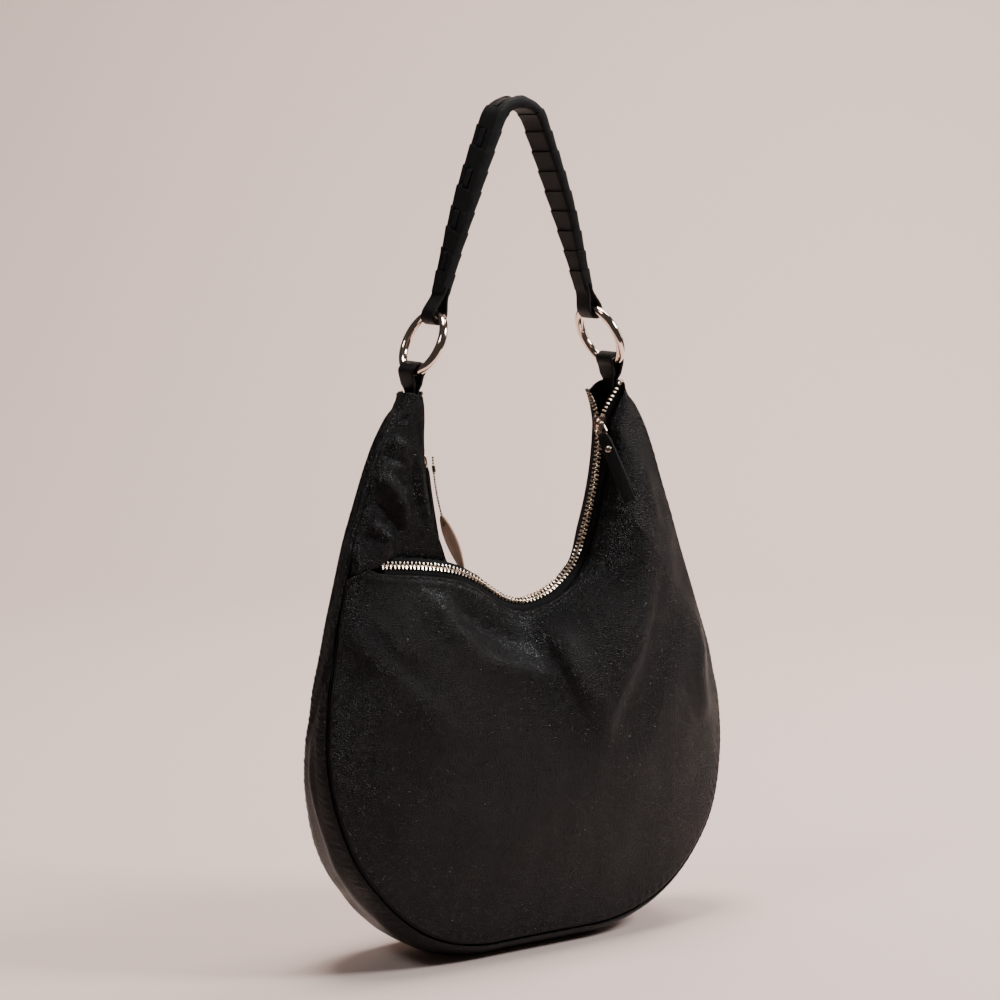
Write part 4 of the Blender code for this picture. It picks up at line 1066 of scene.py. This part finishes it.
def build_lace(line, turns, mats):
    """Narrow strip along the grip, under one turn of the wrapping and over the next."""
    total = lengths(line)[-1]
    pitch = total / 2 / turns
    d = np.arange(16.0, total - 16.0, 0.8)
    base = along(line, d)
    out = -outward(base)
    near = np.minimum(d, total - d)
    phase = near / pitch
    shown = np.where(np.floor(phase) % 2 == 1, 1.0, 0.0)
    inside = phase - np.floor(phase)
    shown = shown * smooth(0.0, 0.13, inside) * (1 - smooth(0.90, 1.0, inside))
    taper = at(HANDLE_TAPER, near)
    lift = HANDLE_T / 2 - 1.15 + 0.6 * (1 - taper) - 1.5 + shown * 1.15
    lace_line = base + out * lift[:, None] + np.array([0, 1.0, 0]) * (LACE_Y * taper)[:, None]
    lace = strap(lace_line, (0.0, 1.0, 0.0), 6.8 * np.clip(taper + 0.1, 0, 1), 1.1, 0.4)
    dress(lace, "grip_lace", mats["wrap"], "handle", "handle_weave", 50)


# ---- hang tag --------------------------------------------------------------------------
def tag_frame(on_tag):
    """Hanging frame of the ball chain, or of the tag at its lower end."""
    m = slider_frame(True)
    pivot = half_turn(True) @ (m @ (Vector((0.0, 0, SLIDER_LOW + PIVOT_LIFT)) * MM))
    pivot = pivot + Vector((6.4, -6.0, -2.0)) * MM
    chain_down = Vector((0.155, -0.03, -1.0)).normalized()
    down = Vector((0.40, -0.05, -1.0)).normalized() if on_tag else chain_down
    top = pivot + chain_down * (CHAIN_LEN * MM) - down * (CHAIN_LEN * MM)
    x = Vector((0, 1, 0))
    x = (x - down * x.dot(down)).normalized()
    return basis(x, down.cross(x), down, top / MM)


def build_tag(mats):
    """Ball chain with its clasp, and the plain leaf-shaped leather tag."""
    m = tag_frame(False)
    spots = np.arange(0.0, 40.5, 1.9)
    bow = 1.3 * np.sin(math.pi * spots / CHAIN_LEN)
    line = np.stack([0 * spots, -bow, spots], -1)
    ball = added(bpy.ops.mesh.primitive_uv_sphere_add, segments=10, ring_count=7,
                 radius=0.85 * MM)
    beads = copies(ball, [(p, *np.eye(3)) for p in line])
    chain = join(beads, cord_solid(line, 0.22, 6))
    place(chain, m)
    dress(chain, "bead_chain", mats["beads"], "hang_tag", "ball_chain")
    clasp = added(bpy.ops.mesh.primitive_cylinder_add, vertices=20, radius=1.25 * MM,
                  depth=5.0 * MM)
    apply_modifier(clasp, "BEVEL", width=0.4 * MM, segments=2, limit_method="ANGLE")
    place(clasp, m @ Matrix.Translation(Vector((0, -0.6, 8.0)) * MM))
    dress(clasp, "chain_clasp", mats["beads"], "hang_tag", "chain_connector", 40)
    shape = []
    for k in range(64):
        a = 2 * math.pi * k / 64
        f = (1 - math.cos(a)) / 2
        half = LEAF_HALF * max(0.0, math.sin(math.pi * f ** 0.85)) ** 0.8 if 0 < f < 1 else 0.0
        shape.append((half if a < math.pi else -half, LEAF_TOP + LEAF_LEN * f))
    leaf = plate(shape, 1.3, 0.3)
    n = tag_frame(True)
    place(leaf, n @ Matrix(((1, 0, 0, 0), (0, 0, -1, 0.65 * MM), (0, 1, 0, 0), (0, 0, 0, 1))))
    dress(leaf, "leaf_tag", mats["tan"], "hang_tag", "tag", 40)
    eyelet = added(bpy.ops.mesh.primitive_torus_add, major_radius=2.1 * MM,
                   minor_radius=0.6 * MM, major_segments=32, minor_segments=10)
    place(eyelet, n @ Matrix.Translation(Vector((0, 0, EYELET_DOWN)) * MM)
          @ Matrix.Rotation(math.pi / 2, 4, "X") @ Matrix.Diagonal((1, 1, 2.2, 1)))
    outwards(eyelet)
    dress(eyelet, "tag_grommet", mats["beads"], "hang_tag", "tag_eyelet")


# ---- finishes --------------------------------------------------------------------------
def new_material(name):
    """Material with its nodes, links and shader."""
    mat = bpy.data.materials.new(name)
    mat.use_nodes = True
    nodes, links = mat.node_tree.nodes, mat.node_tree.links
    return mat, nodes, links, nodes["Principled BSDF"]


def object_coordinates(nodes):
    return nodes.new("ShaderNodeTexCoord").outputs["Object"]


def noise(nodes, links, where, scale, detail=2.0):
    """Soft noise value over an object."""
    node = nodes.new("ShaderNodeTexNoise")
    node.inputs["Scale"].default_value = scale
    node.inputs["Detail"].default_value = detail
    links.new(where, node.inputs["Vector"])
    return node.outputs["Fac"]


def spread(nodes, links, value, low, high):
    """Map a 0 to 1 value to a range."""
    node = nodes.new("ShaderNodeMapRange")
    node.inputs["From Min"].default_value = 0.3
    node.inputs["From Max"].default_value = 0.7
    node.inputs["To Min"].default_value = low
    node.inputs["To Max"].default_value = high
    links.new(value, node.inputs["Value"])
    return node.outputs["Result"]


def two_tone(nodes, links, value, dark, light):
    """Colour between two tones by a value."""
    ramp = nodes.new("ShaderNodeValToRGB")
    ramp.color_ramp.elements[0].position = 0.3
    ramp.color_ramp.elements[1].position = 0.7
    ramp.color_ramp.elements[0].color = (*dark, 1.0)
    ramp.color_ramp.elements[1].color = (*light, 1.0)
    links.new(value, ramp.inputs["Fac"])
    return ramp.outputs["Color"]


def bump(nodes, links, height, strength, distance, before=None):
    """Relief from a height value, over an earlier relief if there is one."""
    node = nodes.new("ShaderNodeBump")
    node.inputs["Strength"].default_value = strength
    node.inputs["Distance"].default_value = distance
    links.new(height, node.inputs["Height"])
    if before is not None:
        links.new(before, node.inputs["Normal"])
    return node.outputs["Normal"]


def pebbled_leather(name, colour, grain, rough, depth):
    """Soft leather with a fine pebbled grain and a slight uneven sheen."""
    mat, nodes, links, shader = new_material(name)
    where = object_coordinates(nodes)
    warp = nodes.new("ShaderNodeTexNoise")
    warp.inputs["Scale"].default_value = 260.0
    links.new(where, warp.inputs["Vector"])
    shift = nodes.new("ShaderNodeVectorMath")
    shift.operation = "SCALE"
    shift.inputs["Scale"].default_value = grain * 0.7
    links.new(warp.outputs["Color"], shift.inputs[0])
    moved = nodes.new("ShaderNodeVectorMath")
    moved.operation = "ADD"
    links.new(where, moved.inputs[0])
    links.new(shift.outputs["Vector"], moved.inputs[1])
    cells = nodes.new("ShaderNodeTexVoronoi")
    cells.feature = "DISTANCE_TO_EDGE"
    cells.inputs["Scale"].default_value = 1.0 / grain
    links.new(moved.outputs["Vector"], cells.inputs["Vector"])
    dome = nodes.new("ShaderNodeMapRange")
    dome.interpolation_type = "SMOOTHSTEP"
    dome.inputs["From Max"].default_value = 0.26
    links.new(cells.outputs["Distance"], dome.inputs["Value"])
    patch = noise(nodes, links, where, 38.0, 3.0)
    coarse = bump(nodes, links, noise(nodes, links, where, 120.0, 2.0), 0.10 * depth, 0.0005)
    fine = bump(nodes, links, dome.outputs["Result"], 1.0 * depth, grain * 0.3, coarse)
    links.new(fine, shader.inputs["Normal"])
    links.new(two_tone(nodes, links, patch, [c * 0.8 for c in colour], [c * 1.2 for c in colour]),
              shader.inputs["Base Color"])
    links.new(spread(nodes, links, patch, rough - 0.04, rough + 0.05), shader.inputs["Roughness"])
    shader.inputs["Specular IOR Level"].default_value = 0.21
    return mat


def polished_metal(name, colour, rough):
    """Plated metal with faint polishing marks."""
    mat, nodes, links, shader = new_material(name)
    where = object_coordinates(nodes)
    marks = noise(nodes, links, where, 420.0, 3.0)
    shader.inputs["Metallic"].default_value = 1.0
    links.new(two_tone(nodes, links, marks, [c * 0.95 for c in colour], colour),
              shader.inputs["Base Color"])
    links.new(spread(nodes, links, marks, rough * 0.8, rough * 1.25), shader.inputs["Roughness"])
    return mat


def woven_tape(name, colour):
    """Ribbed zip tape; the ribs run across it."""
    mat, nodes, links, shader = new_material(name)
    uv = nodes.new("ShaderNodeUVMap")
    ribs = nodes.new("ShaderNodeTexWave")
    ribs.bands_direction = "X"
    ribs.inputs["Scale"].default_value = 150.0
    links.new(uv.outputs["UV"], ribs.inputs["Vector"])
    links.new(bump(nodes, links, ribs.outputs["Fac"], 0.5, 0.0002), shader.inputs["Normal"])
    where = object_coordinates(nodes)
    links.new(two_tone(nodes, links, noise(nodes, links, where, 300.0), [c * 0.7 for c in colour],
                       [c * 1.3 for c in colour]), shader.inputs["Base Color"])
    shader.inputs["Roughness"].default_value = 0.85
    shader.inputs["Specular IOR Level"].default_value = 0.2
    return mat


def plain_cloth(name, colour):
    """Fine woven lining and board cover."""
    mat, nodes, links, shader = new_material(name)
    where = object_coordinates(nodes)
    weave = nodes.new("ShaderNodeTexWave")
    weave.inputs["Scale"].default_value = 900.0
    links.new(where, weave.inputs["Vector"])
    links.new(bump(nodes, links, weave.outputs["Fac"], 0.3, 0.0002), shader.inputs["Normal"])
    links.new(two_tone(nodes, links, noise(nodes, links, where, 60.0), [c * 0.8 for c in colour],
                       [c * 1.2 for c in colour]), shader.inputs["Base Color"])
    shader.inputs["Roughness"].default_value = 0.9
    return mat


def all_finishes(scene):
    """The finishes of all pieces, made once."""
    if "bag_leather" in bpy.data.materials:
        kinds = ("leather", "strap", "wrap", "thread", "gold", "teeth", "beads", "tape", "cloth",
                 "tan")
        return {k: bpy.data.materials["bag_" + k] for k in kinds}
    c, sizes = scene.bag_colours, scene.bag_sizes
    black = tuple(c.leather)
    return {
        "leather": pebbled_leather("bag_leather", black, sizes.grain, 0.35, 1.0),
        "strap": pebbled_leather("bag_strap", black, sizes.grain * 0.7, 0.50, 0.5),
        "wrap": pebbled_leather("bag_wrap", black, sizes.grain * 0.8, 0.52, 0.6),
        "thread": pebbled_leather("bag_thread", tuple(c.thread), 0.0004, 0.5, 0.4),
        "gold": polished_metal("bag_gold", tuple(c.gold), 0.10),
        "teeth": polished_metal("bag_teeth", tuple(c.teeth), 0.24),
        "beads": polished_metal("bag_beads", tuple(v * 0.4 for v in c.teeth), 0.22),
        "tape": woven_tape("bag_tape", tuple(c.cloth)),
        "cloth": plain_cloth("bag_cloth", tuple(c.cloth)),
        "tan": pebbled_leather("bag_tan", tuple(c.tag), 0.0006, 0.55, 0.4),
    }


# ---- stage -----------------------------------------------------------------------------
def soft_light(name, place_at, size, power, colour, aim=(0.0, 0.0, 0.25), tall=0.0):
    """Area light turned to its aim; round unless it has a height."""
    data = bpy.data.lights.new(name, "AREA")
    data.shape = "RECTANGLE" if tall else "DISK"
    data.size = size
    if tall:
        data.size_y = tall
    data.energy = power
    data.color = colour
    ob = bpy.data.objects.new(name, data)
    bpy.context.scene.collection.objects.link(ob)
    ob.location = place_at
    ob.rotation_euler = (Vector(aim) - Vector(place_at)).to_track_quat("-Z", "Y").to_euler()


def build_floor(colour):
    """Pale paper under the bag that curves up into a wall behind it."""
    floor = added(bpy.ops.mesh.primitive_plane_add, size=1.0)
    place(floor, Matrix.Rotation(math.radians(CAMERA_TURN), 4, "Z")
          @ Matrix.Translation((0.0, 0.55, 0.0)) @ Matrix.Diagonal((2.2, 1.9, 1.0, 1.0)))
    bpy.ops.object.mode_set(mode="EDIT")
    bpy.ops.mesh.select_mode(type="VERT")
    bpy.ops.mesh.select_all(action="DESELECT")
    bpy.ops.object.mode_set(mode="OBJECT")
    for v in floor.data.vertices:
        v.select = v.co.x * BACK[0] + v.co.y * BACK[1] > 0.8
    bpy.ops.object.mode_set(mode="EDIT")
    steps = 16
    step = PAPER_BEND * math.pi / (2 * steps)
    for k in range(steps):
        a = math.pi / 2 * (k + 0.5) / steps
        run = step * math.cos(a)
        bpy.ops.mesh.extrude_edges_move(TRANSFORM_OT_translate={
            "value": (run * BACK[0], run * BACK[1], step * math.sin(a))})
    bpy.ops.mesh.extrude_edges_move(TRANSFORM_OT_translate={"value": (0, 0, 1.6)})
    bpy.ops.object.mode_set(mode="OBJECT")
    mat, nodes, links, shader = new_material("studio_paper")
    where = object_coordinates(nodes)
    links.new(two_tone(nodes, links, noise(nodes, links, where, 1.2, 1.0),
                       [c * 0.985 for c in colour], colour), shader.inputs["Base Color"])
    shader.inputs["Roughness"].default_value = 0.9
    shader.inputs["Specular IOR Level"].default_value = 0.1
    floor.name = "studio_floor"
    floor.data.materials.append(mat)
    alone(floor)
    bpy.ops.object.shade_smooth_by_angle(angle=math.radians(30))


def build_camera():
    """Camera low to the left of the front, looking slightly down."""
    a = math.radians(CAMERA_TURN)
    pitch = math.atan(350.0 / FOCAL)
    ahead = Vector((-math.sin(a), math.cos(a), 0))
    right = Vector((math.cos(a), math.sin(a), 0))
    up = Vector((0, 0, 1))
    view = math.cos(pitch) * ahead - math.sin(pitch) * up
    top = math.sin(pitch) * ahead + math.cos(pitch) * up
    ray = 13.0 / FOCAL * right - 437.5 / FOCAL * top + view
    spot = -ray / math.hypot(ray.x, ray.y) * CAMERA_FAR
    data = bpy.data.cameras.new("camera")
    data.sensor_width = 36.0
    data.lens = FOCAL * data.sensor_width / 1000.0
    data.clip_start, data.clip_end = 0.05, 20.0
    camera = bpy.data.objects.new("camera", data)
    bpy.context.scene.collection.objects.link(camera)
    camera.matrix_world = basis(right, top, -view, spot / MM)
    bpy.context.scene.camera = camera


# ---- add-on ----------------------------------------------------------------------------
class BagSizes(bpy.types.PropertyGroup):
    tooth_pitch: bpy.props.FloatProperty(
        name="Tooth pitch", description="Distance between teeth on one side of a zip",
        default=0.0031, min=0.0015, max=0.006, unit="LENGTH")
    stitch_pitch: bpy.props.FloatProperty(
        name="Stitch pitch", description="Distance between stitches along the zip edge",
        default=0.0034, min=0.002, max=0.008, unit="LENGTH")
    wrap_pitch: bpy.props.FloatProperty(
        name="Wrap pitch", description="Height of one turn of the handle's wrapping",
        default=0.0144, min=0.008, max=0.03, unit="LENGTH")
    grain: bpy.props.FloatProperty(
        name="Grain", description="Size of one pebble of the leather's grain",
        default=0.0014, min=0.0004, max=0.004, unit="LENGTH")
    fold_depth: bpy.props.FloatProperty(
        name="Fold depth", description="Depth of the soft folds, as a share of the usual depth",
        default=1.35, min=0.0, max=2.0, subtype="FACTOR")


class BagColours(bpy.types.PropertyGroup):
    leather: bpy.props.FloatVectorProperty(
        name="Leather", description="Colour of the leather", subtype="COLOR", size=3,
        default=(0.0010, 0.0010, 0.0011), min=0.0, max=1.0)
    thread: bpy.props.FloatVectorProperty(
        name="Thread", description="Colour of the sewing thread", subtype="COLOR", size=3,
        default=(0.004, 0.004, 0.004), min=0.0, max=1.0)
    gold: bpy.props.FloatVectorProperty(
        name="Hardware", description="Colour of the rings, sliders and studs", subtype="COLOR",
        size=3, default=(0.90, 0.72, 0.60), min=0.0, max=1.0)
    teeth: bpy.props.FloatVectorProperty(
        name="Zip teeth", description="Colour of the zip teeth", subtype="COLOR", size=3,
        default=(0.86, 0.71, 0.55), min=0.0, max=1.0)
    cloth: bpy.props.FloatVectorProperty(
        name="Cloth", description="Colour of the zip tape and lining", subtype="COLOR", size=3,
        default=(0.008, 0.008, 0.009), min=0.0, max=1.0)
    tag: bpy.props.FloatVectorProperty(
        name="Tag", description="Colour of the hang tag", subtype="COLOR", size=3,
        default=(0.56, 0.37, 0.26), min=0.0, max=1.0)
    paper: bpy.props.FloatVectorProperty(
        name="Studio paper", description="Colour of the floor and wall", subtype="COLOR", size=3,
        default=(0.80, 0.64, 0.58), min=0.0, max=1.0)


class BAG_OT_faces(bpy.types.Operator):
    """Front and rear faces with their topstitching"""
    bl_idname = "bag.faces"
    bl_label = "Faces"

    def execute(self, context):
        mats = all_finishes(context.scene)
        for side, turn in (("front", False), ("rear", True)):
            build_face(side, turn, context.scene.bag_sizes, mats)
        return {"FINISHED"}


class BAG_OT_middle(bpy.types.Operator):
    """Sheet between the compartments with the soft sides of the horns"""
    bl_idname = "bag.middle"
    bl_label = "Middle sheet"

    def execute(self, context):
        build_middle(context.scene.bag_sizes, all_finishes(context.scene))
        return {"FINISHED"}


class BAG_OT_gusset(bpy.types.Operator):
    """Strip round the sides and bottom, with the seams on its edges"""
    bl_idname = "bag.gusset"
    bl_label = "Gusset and seams"

    def execute(self, context):
        mats = all_finishes(context.scene)
        build_gusset(mats)
        build_seams(mats)
        return {"FINISHED"}


class BAG_OT_zips(bpy.types.Operator):
    """Both zips with tapes, teeth and end stops"""
    bl_idname = "bag.zips"
    bl_label = "Zips"

    def execute(self, context):
        mats = all_finishes(context.scene)
        for side, turn in (("front", False), ("rear", True)):
            build_zip(side, turn, context.scene.bag_sizes, mats)
        return {"FINISHED"}


class BAG_OT_sliders(bpy.types.Operator):
    """Sliders and their leather pulls"""
    bl_idname = "bag.sliders"
    bl_label = "Sliders and pulls"

    def execute(self, context):
        mats = all_finishes(context.scene)
        for side, turn in (("front", False), ("rear", True)):
            build_slider(side, turn, mats)
            build_pull(side, turn, mats)
        return {"FINISHED"}


class BAG_OT_rings(bpy.types.Operator):
    """O rings with the tabs and loops that hold them"""
    bl_idname = "bag.rings"
    bl_label = "Rings, tabs and loops"

    def execute(self, context):
        mats = all_finishes(context.scene)
        for side, sign in (("left", -1), ("right", 1)):
            build_ring(side, sign, mats)
            build_loops(side, sign, mats)
        return {"FINISHED"}


class BAG_OT_handle(bpy.types.Operator):
    """Wrapped handle with its lace"""
    bl_idname = "bag.handle"
    bl_label = "Handle"

    def execute(self, context):
        mats = all_finishes(context.scene)
        line = handle_line()
        half = lengths(line)[-1] / 2
        turns = int(round(half / (context.scene.bag_sizes.wrap_pitch / MM)))
        build_grip(line, turns, mats)
        build_lace(line, turns, mats)
        return {"FINISHED"}


class BAG_OT_tag(bpy.types.Operator):
    """Hang tag on its ball chain"""
    bl_idname = "bag.tag"
    bl_label = "Hang tag"

    def execute(self, context):
        build_tag(all_finishes(context.scene))
        return {"FINISHED"}


class BAG_OT_stage(bpy.types.Operator):
    """Floor, lights and camera"""
    bl_idname = "bag.stage"
    bl_label = "Stage"

    def execute(self, context):
        build_floor(tuple(context.scene.bag_colours.paper))
        world = bpy.data.worlds.new("studio")
        world.use_nodes = True
        world.node_tree.nodes["Background"].inputs["Color"].default_value = (1.0, 0.93, 0.90, 1.0)
        world.node_tree.nodes["Background"].inputs["Strength"].default_value = 0.05
        context.scene.world = world
        soft_light("top_light", (-0.1, 0.2, 2.7), 1.0, 60.0, (1.0, 0.94, 0.91))
        soft_light("front_light", (1.4, -1.15, 1.6), 0.5, 46.0, (0.98, 0.98, 1.0), tall=0.6)
        soft_light("left_light", (-1.7, -0.2, 1.9), 0.5, 9.0, (1.0, 0.99, 1.0))
        soft_light("right_light", (2.0, -0.3, 0.9), 0.8, 4.0, (1.0, 0.92, 0.86))
        soft_light("wall_light", (1.3, 0.2, 2.7), 1.2, 78.0, (1.0, 0.92, 0.87), (1.9, 2.1, 0.6))
        build_camera()
        return {"FINISHED"}


class BAG_PT_panel(bpy.types.Panel):
    bl_label = "Leather hobo bag"
    bl_idname = "BAG_PT_panel"
    bl_space_type = "VIEW_3D"
    bl_region_type = "UI"
    bl_category = "Bag"

    def draw(self, context):
        layout = self.layout
        for group in (context.scene.bag_sizes, context.scene.bag_colours):
            for name in group.bl_rna.properties.keys():
                if name not in ("rna_type", "name"):
                    layout.prop(group, name)
        for cls in OPERATORS:
            layout.operator(cls.bl_idname)


OPERATORS = (BAG_OT_stage, BAG_OT_faces, BAG_OT_middle, BAG_OT_gusset, BAG_OT_zips, BAG_OT_sliders,
             BAG_OT_rings, BAG_OT_handle, BAG_OT_tag)
CLASSES = (BagSizes, BagColours) + OPERATORS + (BAG_PT_panel,)


def register():
    for cls in CLASSES:
        bpy.utils.register_class(cls)
    bpy.types.Scene.bag_sizes = bpy.props.PointerProperty(type=BagSizes)
    bpy.types.Scene.bag_colours = bpy.props.PointerProperty(type=BagColours)


def unregister():
    del bpy.types.Scene.bag_colours
    del bpy.types.Scene.bag_sizes
    for cls in reversed(CLASSES):
        bpy.utils.unregister_class(cls)


def main():
    register()
    for cls in OPERATORS:
        group, name = cls.bl_idname.split(".")
        getattr(getattr(bpy.ops, group), name)()


if __name__ == "__main__":
    main()
